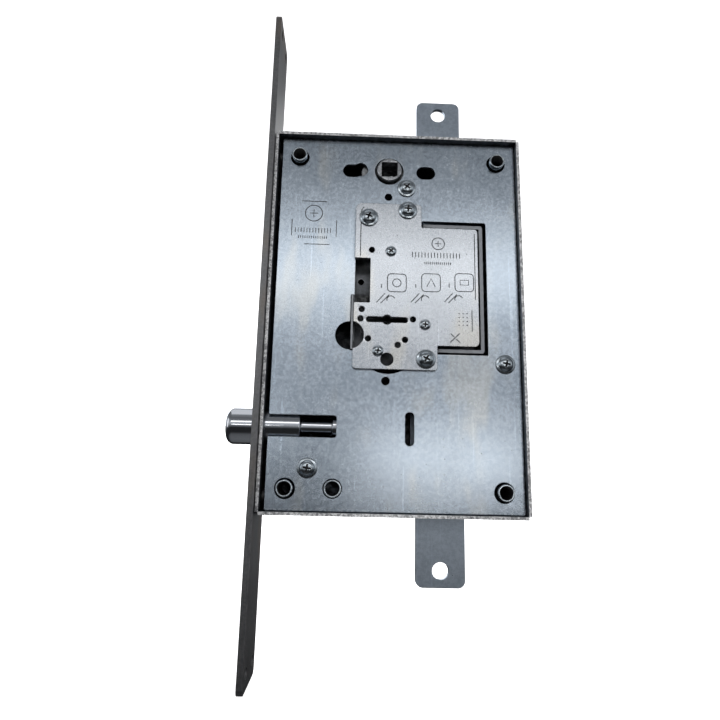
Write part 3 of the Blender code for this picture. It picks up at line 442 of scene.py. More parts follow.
class Nodes:
    """Short calls for building a node tree."""

    def __init__(self, tree: bpy.types.NodeTree) -> None:
        """Keep the tree that nodes are added to."""
        self.tree = tree

    def add(self, kind: str, **values: object) -> bpy.types.Node:
        """Add a node and set its own properties.

        Args:
            kind: Node type, such as "ShaderNodeMath".
            **values: Properties of the node.

        Returns:
            The new node.
        """
        node = self.tree.nodes.new(kind)
        for name, value in values.items():
            setattr(node, name, value)
        return node

    def feed(self, socket: bpy.types.NodeSocket, source: object) -> None:
        """Link a socket to a source socket, or set its plain value.

        Args:
            socket: Input socket.
            source: Output socket, number or colour.
        """
        if isinstance(source, bpy.types.NodeSocket):
            self.tree.links.new(source, socket)
        elif isinstance(source, tuple) and len(source) == 3 and socket.type == "RGBA":
            socket.default_value = (*source, 1.0)
        else:
            socket.default_value = source

    def math(self, operation: str, first: object, second: object = 0.0,
             clamp: bool = False) -> bpy.types.NodeSocket:
        """Add a Math node.

        Args:
            operation: Name of the operation.
            first: First value or socket.
            second: Second value or socket.
            clamp: True to hold the result between 0 and 1.

        Returns:
            The result's socket.
        """
        node = self.add("ShaderNodeMath", operation=operation, use_clamp=clamp)
        self.feed(node.inputs[0], first)
        self.feed(node.inputs[1], second)
        return node.outputs[0]

    def blend(self, share: object, first: object, second: object,
              mode: str = "MIX") -> bpy.types.NodeSocket:
        """Add a colour Mix node.

        Args:
            share: How much of the second colour shows.
            first: First colour or socket.
            second: Second colour or socket.
            mode: Blend type.

        Returns:
            The mixed colour's socket.
        """
        node = self.add("ShaderNodeMix", data_type="RGBA", blend_type=mode)
        self.feed(node.inputs["Factor"], share)
        self.feed(node.inputs[6], first)
        self.feed(node.inputs[7], second)
        return node.outputs[2]

    def spread(self, value: object, low: float, high: float, out_low: float = 0.0,
               out_high: float = 1.0) -> bpy.types.NodeSocket:
        """Stretch a range of values over another with smooth ends.

        Args:
            value: Value to map.
            low: Start of the input range.
            high: End of the input range.
            out_low: Result at the start.
            out_high: Result at the end.

        Returns:
            The mapped value's socket.
        """
        node = self.add("ShaderNodeMapRange", interpolation_type="SMOOTHSTEP")
        for socket, source in zip(node.inputs, (value, low, high, out_low, out_high)):
            self.feed(socket, source)
        return node.outputs[0]

    def noise(self, where: bpy.types.NodeSocket, scale: object, detail: float = 3.0,
              rough: float = 0.55) -> bpy.types.NodeSocket:
        """Add a noise texture.

        Args:
            where: Vector to read it at.
            scale: Noise cells per metre.
            detail: Number of finer layers.
            rough: Strength of the finer layers.

        Returns:
            The noise value's socket.
        """
        node = self.add("ShaderNodeTexNoise")
        self.feed(node.inputs["Vector"], where)
        self.feed(node.inputs["Scale"], scale)
        node.inputs["Detail"].default_value = detail
        node.inputs["Roughness"].default_value = rough
        return node.outputs[0]

    def scaled(self, scale: object, turn: tuple[float, float, float] = (0.0, 0.0, 0.0)
               ) -> bpy.types.NodeSocket:
        """Return the piece's own coordinates, turned and scaled along each axis.

        Args:
            scale: Scale along X, Y and Z, or a socket.
            turn: Rotation in radians.

        Returns:
            The coordinates' socket.
        """
        where = self.add("ShaderNodeTexCoord").outputs["Object"]
        node = self.add("ShaderNodeMapping")
        node.inputs["Rotation"].default_value = turn
        self.feed(node.inputs["Vector"], where)
        self.feed(node.inputs["Scale"], scale)
        return node.outputs[0]


class Effect:
    """A shader node group that several finishes share."""

    made: dict[str, bpy.types.NodeTree] = {}

    @classmethod
    def start(cls, name: str, ins: dict[str, str], outs: dict[str, str]
              ) -> tuple[Nodes, bpy.types.Node, bpy.types.Node]:
        """Begin a group with its sockets.

        Args:
            name: Group name.
            ins: Input names with their socket types.
            outs: Output names with their socket types.

        Returns:
            The node helper, the input node and the output node.
        """
        tree = bpy.data.node_groups.new(name, "ShaderNodeTree")
        for side, sockets in (("INPUT", ins), ("OUTPUT", outs)):
            for label, kind in sockets.items():
                tree.interface.new_socket(label, in_out=side, socket_type="NodeSocket" + kind)
        cls.made[name] = tree
        nodes = Nodes(tree)
        return nodes, nodes.add("NodeGroupInput"), nodes.add("NodeGroupOutput")

    @classmethod
    def sheet_surface(cls) -> bpy.types.NodeTree:
        """Make the shared colour, roughness and relief of rolled or plated metal.

        Returns:
            The node group.
        """
        ins = {"Base": "Color", "Cloud Tint": "Color", "Warm Tint": "Color", "Cloud": "Float",
               "Grain": "Float", "Specks": "Float", "Warm": "Float", "Rough": "Float",
               "Rough Change": "Float", "Grain Scale": "Vector", "Scratches": "Float"}
        n, source, sink = cls.start("sheet_surface", ins,
                                    {"Color": "Color", "Roughness": "Float", "Height": "Float"})
        get = source.outputs
        plain = n.scaled((1.0, 1.0, 1.0))
        wide = n.noise(plain, 38.0, 3.0, 0.6)
        cells = n.noise(plain, 620.0, 4.0, 0.7)
        fine = n.noise(plain, 2600.0, 2.0, 0.6)
        lines = n.noise(n.scaled(get["Grain Scale"]), 1.0, 3.0, 0.65)
        warm = n.math("MULTIPLY", n.spread(n.noise(n.scaled((1.0, 1.0, 0.35)), 60.0, 2.0), 0.5, 0.72),
                      get["Warm"])
        cloud = n.math("ADD", n.math("MULTIPLY", n.spread(wide, 0.3, 0.7), 0.7),
                       n.math("MULTIPLY", n.spread(cells, 0.40, 0.60), 1.3))
        cloud = n.math("MULTIPLY", n.math("MULTIPLY", cloud, 0.5), get["Cloud"], clamp=True)
        colour = n.blend(cloud, get["Base"], get["Cloud Tint"])
        colour = n.blend(warm, colour, get["Warm Tint"])
        grain = n.math("MULTIPLY", n.math("SUBTRACT", lines, 0.5), get["Grain"])
        shade = n.math("ADD", 1.0, n.math("MULTIPLY", grain, 0.9))
        dots = n.add("ShaderNodeTexVoronoi", feature="F1")
        n.feed(dots.inputs["Vector"], plain)
        n.feed(dots.inputs["Scale"], 340.0)
        pick = n.add("ShaderNodeSeparateColor")
        n.feed(pick.inputs[0], dots.outputs["Color"])
        size = n.math("MULTIPLY", n.spread(pick.outputs[0], 0.55, 1.0), 0.11)
        dot = n.spread(n.math("SUBTRACT", size, dots.outputs["Distance"]), 0.0, 0.03)
        specks = n.math("MULTIPLY", dot, get["Specks"])
        shade = n.math("MULTIPLY", shade, n.math("SUBTRACT", 1.0, n.math("MULTIPLY", specks, 0.7)))
        scratch = None
        for turn, scale in (((0.0, 0.35, 0.0), (900.0, 900.0, 18.0)),
                            ((0.0, -0.9, 0.0), (700.0, 700.0, 16.0)),
                            ((0.0, 1.45, 0.0), (1100.0, 1100.0, 22.0))):
            hair = n.noise(n.scaled(scale, turn), 1.0, 0.0, 0.5)
            line = n.spread(hair, 0.795, 0.83)
            scratch = line if scratch is None else n.math("MAXIMUM", scratch, line)
        scratch = n.math("MULTIPLY", scratch, get["Scratches"])
        shade = n.math("ADD", shade, n.math("MULTIPLY", scratch, 0.5))
        n.feed(sink.inputs["Color"], n.blend(1.0, colour, shade, "MULTIPLY"))
        rough = n.math("ADD", get["Rough"], n.math("MULTIPLY", n.math("SUBTRACT", cells, 0.5),
                                                   get["Rough Change"]))
        rough = n.math("ADD", rough, n.math("MULTIPLY", n.math("SUBTRACT", wide, 0.5),
                                            get["Rough Change"]))
        rough = n.math("ADD", rough, n.math("MULTIPLY", grain, 0.25))
        n.feed(sink.inputs["Roughness"], n.math("ADD", rough, n.math("MULTIPLY", specks, 0.3), True))
        height = n.math("ADD", n.math("MULTIPLY", cells, 0.5), n.math("MULTIPLY", fine, 0.35))
        height = n.math("ADD", height, n.math("MULTIPLY", grain, 0.8))
        height = n.math("SUBTRACT", height, n.math("MULTIPLY", scratch, 0.6))
        n.feed(sink.inputs["Height"], n.math("SUBTRACT", height, n.math("MULTIPLY", specks, 0.15)))
        return n.tree

    @classmethod
    def edge_wear_and_highlight(cls) -> bpy.types.NodeTree:
        """Make a mask that lightens rounded outer edges, broken up by noise: partly metal rubbed bright,
        partly a painted highlight where edges catch light.

        Returns:
            The node group.
        """
        n, source, sink = cls.start("edge_wear_and_highlight", {"Radius": "Float", "Amount": "Float"},
                                    {"Wear And Highlight": "Float"})
        bevel = n.add("ShaderNodeBevel", samples=4)
        n.feed(bevel.inputs["Radius"], source.outputs["Radius"])
        flat = n.add("ShaderNodeNewGeometry").outputs["Normal"]
        turn = n.add("ShaderNodeVectorMath", operation="DOT_PRODUCT")
        n.feed(turn.inputs[0], bevel.outputs[0])
        n.feed(turn.inputs[1], flat)
        edge = n.math("SUBTRACT", 1.0, turn.outputs["Value"])
        rub = n.spread(n.noise(n.scaled((1.0, 1.0, 1.0)), 420.0, 3.0, 0.7), 0.3, 0.65)
        wear_and_highlight = n.math("MULTIPLY", n.spread(edge, 0.02, 0.16), rub)
        n.feed(sink.inputs["Wear And Highlight"], n.math("MULTIPLY", wear_and_highlight, source.outputs["Amount"], clamp=True))
        return n.tree

    @classmethod
    def crevice_dirt_and_shade(cls) -> bpy.types.NodeTree:
        """Make a mask that darkens corners, holes and engraved lines by ambient occlusion: partly old oil
        and dust, partly painted shade; where the reach is long it paints shade over whole hollow insides.

        Returns:
            The node group.
        """
        n, source, sink = cls.start("crevice_dirt_and_shade", {"Reach": "Float", "Amount": "Float"},
                                    {"Dirt And Shade": "Float"})
        shut = n.add("ShaderNodeAmbientOcclusion", samples=6)
        n.feed(shut.inputs["Distance"], source.outputs["Reach"])
        # Occlusion darkening: painted shade in corners and hollows, broken up by noise below
        deep = n.spread(shut.outputs["AO"], 0.25, 0.85, 1.0, 0.0)
        patchy = n.spread(n.noise(n.scaled((1.0, 1.0, 1.0)), 300.0, 4.0, 0.65), 0.2, 0.6, 0.45, 1.0)
        n.feed(sink.inputs["Dirt And Shade"], n.math("MULTIPLY", n.math("MULTIPLY", deep, patchy),
                                           source.outputs["Amount"], clamp=True))
        return n.tree

    @classmethod
    def get(cls, name: str) -> bpy.types.NodeTree:
        """Return a shared group, made at its first use."""
        return cls.made.get(name) or getattr(cls, name)()


@dataclass(frozen=True)
class MetalFinish:
    """One metal finish: its colours and grain, its rubbed edges with painted highlight, and its oil and
    dust in hollows with painted shade.
    """

    name: str
    base: Colour
    cloud_tint: Colour
    warm_tint: Colour = (0.75, 0.70, 0.58)
    wear_and_highlight_tint: Colour = (0.86, 0.88, 0.90)
    dirt_and_shade_tint: Colour = (0.03, 0.03, 0.032)
    metallic: float = 1.0
    cloud: float = 0.6
    warm: float = 0.0
    grain: float = 0.3
    specks: float = 0.3
    scratches: float = 0.2
    rough: float = 0.32
    rough_change: float = 0.16
    direction: Grain = Grain.UPRIGHT
    wear_and_highlight: float = 0.7
    wear_and_highlight_radius: float = 0.35
    dirt_and_shade: float = 0.55
    dirt_and_shade_reach: float = 2.5
    relief: float = 0.12
    anisotropic: float = 0.0

    def build(self) -> bpy.types.Material:
        """Make the material of this finish.

        Returns:
            The material.
        """
        material = bpy.data.materials.new(self.name)
        material.use_nodes = True
        n = Nodes(material.node_tree)
        shader = material.node_tree.nodes["Principled BSDF"]
        shader.inputs["Metallic"].default_value = self.metallic
        shader.inputs["Anisotropic"].default_value = self.anisotropic
        surface = n.add("ShaderNodeGroup", node_tree=Effect.get("sheet_surface"))
        values = {"Base": self.base, "Cloud Tint": self.cloud_tint, "Warm Tint": self.warm_tint,
                  "Cloud": self.cloud, "Grain": self.grain, "Specks": self.specks,
                  "Warm": self.warm, "Rough": self.rough, "Rough Change": self.rough_change,
                  "Grain Scale": self.direction.value, "Scratches": self.scratches}
        for label, value in values.items():
            n.feed(surface.inputs[label], value)
        wear_and_highlight_mask = n.add("ShaderNodeGroup", node_tree=Effect.get("edge_wear_and_highlight"))
        n.feed(wear_and_highlight_mask.inputs["Radius"], self.wear_and_highlight_radius * MM)
        n.feed(wear_and_highlight_mask.inputs["Amount"], self.wear_and_highlight)
        dirt_and_shade_mask = n.add("ShaderNodeGroup", node_tree=Effect.get("crevice_dirt_and_shade"))
        n.feed(dirt_and_shade_mask.inputs["Reach"], self.dirt_and_shade_reach * MM)
        n.feed(dirt_and_shade_mask.inputs["Amount"], self.dirt_and_shade)
        # Lighten the rounded edges: partly rubbed metal, partly painted highlight on edges that catch light
        colour = n.blend(wear_and_highlight_mask.outputs["Wear And Highlight"], surface.outputs["Color"], self.wear_and_highlight_tint)
        # Darken by the occlusion mask: partly old oil, partly painted shade in hollows
        n.feed(shader.inputs["Base Color"], n.blend(dirt_and_shade_mask.outputs["Dirt And Shade"], colour, self.dirt_and_shade_tint))
        rough = n.math("SUBTRACT", surface.outputs["Roughness"],
                       n.math("MULTIPLY", wear_and_highlight_mask.outputs["Wear And Highlight"], 0.08))
        rough = n.math("ADD", rough, n.math("MULTIPLY", dirt_and_shade_mask.outputs["Dirt And Shade"], 0.35), True)
        n.feed(shader.inputs["Roughness"], rough)
        bump = n.add("ShaderNodeBump")
        bump.inputs["Strength"].default_value = self.relief
        bump.inputs["Distance"].default_value = 0.1 * MM
        n.feed(bump.inputs["Height"], surface.outputs["Height"])
        n.feed(shader.inputs["Normal"], bump.outputs["Normal"])
        return material


FINISHES: dict[str, MetalFinish] = {f.name: f for f in (
    MetalFinish("forend_steel", (0.18, 0.18, 0.185), (0.28, 0.28, 0.285), warm_tint=(0.30, 0.24, 0.18),
                warm=0.5, grain=0.35, rough=0.42, specks=0.5, wear_and_highlight=0.6, wear_and_highlight_tint=(0.6, 0.6, 0.6)),
    # The tray's long occlusion reach darkens its whole inside under the cover: painted shade
    MetalFinish("case_zinc", (0.36, 0.39, 0.43), (0.50, 0.54, 0.60), rough=0.40, specks=0.6,
                wear_and_highlight=0.8, scratches=0.5, relief=0.2, dirt_and_shade=1.0, dirt_and_shade_reach=30.0),
    MetalFinish("cover_zinc", (0.39, 0.45, 0.52), (0.58, 0.65, 0.73), warm_tint=(0.80, 0.76, 0.66),
                cloud=0.7, warm=0.3, grain=0.22, rough=0.24, rough_change=0.12, specks=0.35,
                scratches=0.3, wear_and_highlight=0.55, dirt_and_shade=0.5),
    MetalFinish("core_steel", (0.50, 0.53, 0.57), (0.68, 0.71, 0.76), warm_tint=(0.78, 0.72, 0.60),
                cloud=0.8, warm=0.4, grain=0.30, rough=0.27, specks=0.9, scratches=0.5, wear_and_highlight=0.6,
                dirt_and_shade=0.6, relief=0.16),
    MetalFinish("bolt_chrome", (0.66, 0.68, 0.72), (0.74, 0.76, 0.80), cloud=0.2, grain=0.10,
                rough=0.10, rough_change=0.06, specks=0.1, scratches=0.2, direction=Grain.ALONG_BOLT,
                wear_and_highlight=0.1, dirt_and_shade=0.35, relief=0.03),
    MetalFinish("rod_steel", (0.35, 0.40, 0.47), (0.54, 0.61, 0.69), rough=0.40, specks=0.8,
                grain=0.3, direction=Grain.EVEN, wear_and_highlight=0.7, relief=0.2),
    MetalFinish("screw_zinc", (0.50, 0.56, 0.61), (0.70, 0.76, 0.80), rough=0.20, specks=0.3,
                direction=Grain.EVEN, grain=0.12, wear_and_highlight=0.6, dirt_and_shade=0.9, dirt_and_shade_reach=0.9, relief=0.06),
    # The long occlusion reach darkens the inner works under the cover: painted shade
    MetalFinish("inner_steel", (0.40, 0.41, 0.42), (0.54, 0.55, 0.56), warm_tint=(0.42, 0.36, 0.26),
                warm=0.3, rough=0.36, specks=0.5, direction=Grain.EVEN, wear_and_highlight=0.5,
                dirt_and_shade=1.0, dirt_and_shade_reach=30.0),
    MetalFinish("lever_brass", (0.66, 0.52, 0.26), (0.78, 0.64, 0.36), warm_tint=(0.45, 0.33, 0.16),
                warm=0.4, wear_and_highlight_tint=(0.9, 0.78, 0.48), rough=0.30, direction=Grain.LEVEL, wear_and_highlight=0.5),
    MetalFinish("spring_steel", (0.34, 0.35, 0.37), (0.46, 0.47, 0.50), rough=0.28, specks=0.2,
                direction=Grain.EVEN, wear_and_highlight=0.3, dirt_and_shade=0.3),
    MetalFinish("sheared_edge", (0.16, 0.16, 0.17), (1.0, 1.0, 1.0), cloud=1.0, grain=0.8,
                metallic=0.7, rough=0.42, rough_change=0.3, specks=1.0, direction=Grain.EVEN,
                wear_and_highlight=0.6, dirt_and_shade=0.3, relief=0.5),
    MetalFinish("engraved_line", (0.09, 0.10, 0.11), (0.17, 0.19, 0.21), rough=0.5, specks=0.2,
                direction=Grain.EVEN, wear_and_highlight=0.2, dirt_and_shade=0.6, dirt_and_shade_reach=0.6),
    # Hub and core box: long occlusion reaches darken them where the cover shades them: painted shade
    MetalFinish("hub_steel", (0.42, 0.43, 0.45), (0.58, 0.60, 0.62), rough=0.26, specks=0.3,
                direction=Grain.EVEN, wear_and_highlight=0.8, dirt_and_shade=1.0, dirt_and_shade_reach=14.0),
    MetalFinish("box_steel", (0.26, 0.27, 0.29), (0.36, 0.38, 0.41), rough=0.36, specks=0.5,
                direction=Grain.EVEN, wear_and_highlight=0.7, dirt_and_shade=1.0, dirt_and_shade_reach=12.0),
    # Near-black finish for bores and screw recesses: painted shade in the holes
    MetalFinish("bore_painted_shade", (0.03, 0.03, 0.032), (0.06, 0.06, 0.065), metallic=0.4, rough=0.6,
                direction=Grain.EVEN, wear_and_highlight=0.1, dirt_and_shade=1.0, dirt_and_shade_reach=10.0),
    MetalFinish("dark_plate", (0.05, 0.05, 0.055), (0.09, 0.09, 0.10), rough=0.5,
                direction=Grain.EVEN, wear_and_highlight=0.2),
)}


class Finishes:
    """Materials made from the finishes, one for each name."""

    made: dict[str, bpy.types.Material] = {}

    @classmethod
    def get(cls, name: str) -> bpy.types.Material:
        """Return the material of a finish, made at its first use."""
        if name not in cls.made:
            cls.made[name] = FINISHES[name].build()
        return cls.made[name]


# ---------------------------------------------------------------- sub-assemblies

@dataclass
class Forend:
    """Long strip that is screwed to the door's edge, with its two rivets."""

    corner: float = 3.0
    edge: float = 0.25
    screw_spread: float = 8.7
    screw_from_end: float = 7.5
    screw_hole: float = 2.6
    sink: float = 5.0
    through: float = 5.0
    rivet_head: float = 2.5
    rivet_tail: float = 3.5
    rivet_shoulder: float = 4.8
    rivet_chamfer: float = 0.2

    def strip_mesh(self) -> bpy.types.Mesh:
        """Make the strip with its bolt hole and countersunk screw holes.

        Returns:
            The strip's mesh.
        """
        low, high = place_of("forend_plate")
        bolt = middle_of("deadbolt")
        outline = rounded(rectangle(low.y, low.z, high.y, high.z), [self.corner] * 4, 8)
        mesh = Workshop.plate([outline, circle((0, bolt.z), BOLT_PASS, 64)],
                              -high.x, high.x - low.x, self.edge)
        mesh.transform(Matrix.Rotation(math.pi / 2, 4, "Z"))
        tools = []
        depth = self.sink - self.screw_hole
        profile = [(0, 1), (self.sink + 1, 1), (self.sink, 0), (self.screw_hole, -depth),
                   (self.screw_hole, -self.through), (0, -self.through)]
        for end in (high.z - self.screw_from_end, low.z + self.screw_from_end):
            for side in (-self.screw_spread, self.screw_spread):
                tools.append(Workshop.turned(profile, Axis.DOOR_EDGE, (0, side, end), 40))
        return Workshop.cut(mesh, tools)

    def build(self) -> None:
        """Make the strip and its rivets."""
        Piece("forend_strip", self.strip_mesh(), "case", Finishes.get("forend_steel"),
              "forend_steel", ("forend_plate",)).place()
        for place in ("upper", "lower"):
            node = f"forend_rivet_{place}"
            z, back = middle_of(node).z, place_of(node)[1].x
            head, tail, shoulder = self.rivet_head, self.rivet_tail, self.rivet_shoulder
            chamfer = self.rivet_chamfer
            profile = [(0, 0.0), (head - 1.5 * chamfer, 0.0), (head, -chamfer), (head, -shoulder),
                       (tail, -shoulder), (tail, -back + chamfer), (tail - chamfer, -back), (0, -back)]
            Piece(f"{node}_head", Workshop.turned(profile, Axis.DOOR_EDGE, (0, 0, z), 40), "case",
                  Finishes.get("forend_steel"), "screw_zinc", (node,)).place()


@dataclass
class CaseTray:
    """Folded sheet tray behind the cover, with open corner seams and sheared rims."""

    sheet: float = SHEET
    fold: float = 2.2
    inner_fold: float = 0.9
    seam: float = 1.35
    rod_half: float = 12.3
    rod_gap: float = 0.3
    rim: float = 0.16
    rivet_hole: float = 2.8
    hub_hole: float = 6.8
    slot_spread: float = 19.3
    slot_half: float = 1.4
    slot_radius: float = 3.5
    slot_drop: float = 0.3

    def tools(self, low: Vector, high: Vector) -> list[bpy.types.Mesh]:
        """Make everything that is cut out of the tray's block.

        Args:
            low: Lowest corner of the tray.
            high: Highest corner of the tray.

        Returns:
            The cutting meshes.
        """
        t = self.sheet
        floor = high.y - t
        tools = [Workshop.block((low.x + t, low.y - 5, low.z + t), (high.x - t, floor, high.z - t),
                                self.inner_fold, "back")]
        for x in (low.x, high.x):
            for z in (low.z, high.z):
                tools.append(Workshop.block((x - self.seam, low.y - 5, z - self.seam),
                                            (x + self.seam, floor - 1.0, z + self.seam)))
        for node, z in (("top_rod", high.z), ("bottom_rod", low.z)):
            rod_low, rod_high = place_of(node)
            tools.append(Workshop.block((BAR_X - self.rod_half, rod_low.y - self.rod_gap, z - 3),
                                        (BAR_X + self.rod_half, rod_high.y + self.rod_gap, z + 3)))
        bolt = middle_of("deadbolt")
        tools.append(Workshop.turned(self.drill(BOLT_PASS, 0, -8), Axis.DOOR_EDGE,
                                     (low.x - 2, 0, bolt.z), 64))
        for place in ("upper", "lower"):
            z = middle_of(f"forend_rivet_{place}").z
            tools.append(Workshop.turned(self.drill(self.rivet_hole, 0, -4), Axis.DOOR_EDGE,
                                         (low.x - 1, 0, z), 32))
        hub = middle_of("hub_pin")
        hub_z = hinge_place("handle_turn").z
        tools.append(Workshop.turned(self.drill(self.hub_hole, 5, -5), Axis.COVER,
                                     (hub.x, high.y, hub_z), 48))
        tools.append(self.floor_slots(high.y, hub.x, hub_z))
        return tools

    @staticmethod
    def drill(radius: float, top: float, bottom: float) -> Outline:
        """Return the profile of a plain round cutter."""
        return [(0, top), (radius, top), (radius, bottom), (0, bottom)]

    def floor_slots(self, depth: float, hub_x: float, hub_z: float) -> bpy.types.Mesh:
        """Make the handle screw slots and the keyhole of the tray's floor.

        Args:
            depth: Depth of the floor's outer face.
            hub_x: Hub's place along X.
            hub_z: Hub's place along Z.

        Returns:
            One cutting mesh of separate prisms.
        """
        builder = bmesh.new()
        z, half = hub_z - self.slot_drop, self.slot_half
        outlines = [stadium((x - half, z), (x + half, z), self.slot_radius)
                    for x in (hub_x - self.slot_spread, hub_x + self.slot_spread)]
        outlines.append(CorePlate().keyhole())
        for outline in outlines:
            builder.from_mesh(Workshop.plate([outline], depth - 4, 8, 0.01))
        mesh = bpy.data.meshes.new("floor_slots")
        builder.to_mesh(mesh)
        builder.free()
        return mesh

    def build(self) -> None:
        """Make the tray and give its sheared rims their own finish."""
        low, high = place_of("case_tray")
        block = Workshop.block(tuple(low), tuple(high), self.fold, "back")
        mesh = Workshop.cut(block, self.tools(low, high), soften=0.14)
        while len(mesh.materials):
            mesh.materials.pop()
        mesh.materials.append(Finishes.get("case_zinc"))
        mesh.materials.append(Finishes.get("sheared_edge"))
        for face in mesh.polygons:
            face.material_index = 1 if face.center.y < (low.y + self.rim) * MM else 0
        Piece("tray_shell", mesh, "case", Finishes.get("case_zinc"), "case_zinc",
              ("case_tray",)).place()


class Marks:
    """Plain engraved marks: rings, dashes and simple signs that say nothing."""

    @staticmethod
    def row(left: float, right: float, z: float, height: float, step: float) -> list[tuple[Outline, bool]]:
        """Make a row of short upright dashes.

        Args:
            left: Start of the row.
            right: End of the row.
            z: Middle height of the row.
            height: Length of a dash.
            step: Distance between dashes.

        Returns:
            The strokes.
        """
        count = int((right - left) / step)
        return [([(left + i * step, z - height / 2), (left + i * step, z + height / 2)], False)
                for i in range(count + 1)]

    @staticmethod
    def ring(x: float, z: float, radius: float) -> list[tuple[Outline, bool]]:
        """Return a ring with a plain plus inside it."""
        arm = radius * 0.5
        return [(circle((x, z), radius, 28), True), ([(x - arm, z), (x + arm, z)], False),
                ([(x, z + 0.45), (x, z + arm)], False), ([(x, z - 0.45), (x, z - arm)], False)]

    @staticmethod
    def tile(x: float, z: float, half: float, sign: int) -> list[tuple[Outline, bool]]:
        """Make a rounded square with a plain sign in it and loose strokes beside it.

        Args:
            x: Middle of the square.
            z: Middle of the square.
            half: Half of its side.
            sign: Which sign it holds: 0 a dot, 1 a chevron, 2 a bar.

        Returns:
            The strokes.
        """
        frame_line = rounded(rectangle(x - half, z - half, x + half, z + half), [1.8] * 4, 4)
        inner = half * 0.45
        signs = {0: [(circle((x, z), inner, 16), True)],
                 1: [([(x - inner, z - inner), (x, z + inner), (x + inner, z - inner)], False)],
                 2: [(rectangle(x - inner, z - inner * 0.6, x + inner, z + inner * 0.6), True)]}
        low_x, low_z = x - half - 0.8, z - half - 0.8
        loose = [([(low_x - 4.6, low_z - 5.0), (low_x - 0.4, low_z - 0.2)], False),
                 ([(low_x - 2.6, low_z - 5.4), (low_x + 1.8, low_z - 0.8)], False),
                 (arc((low_x + 2.6, low_z - 3.4), 2.0, 20, 200, 8), False),
                 ([(low_x - 2.2, low_z + 2.6), (low_x - 2.2, low_z + 4.6)], False)]
        return [(frame_line, True)] + signs[sign] + loose

    @classmethod
    def cut_into(cls, mesh: bpy.types.Mesh, strokes: list[tuple[Outline, bool]], face: float,
                 width: float) -> bpy.types.Mesh:
        """Engrave strokes into the front face of a plate.

        Args:
            mesh: The plate.
            strokes: The strokes, which may touch one another.
            face: Depth of the plate's front face.
            width: Radius of the cutting stroke.

        Returns:
            The engraved plate.
        """
        tool = Workshop.tubes(strokes, face - width * 0.25, width)
        tool.materials.append(Finishes.get("engraved_line"))
        if not mesh.materials:
            mesh.materials.append(Finishes.get("cover_zinc"))
        return Workshop.cut(mesh, [tool], tools_cross=True)


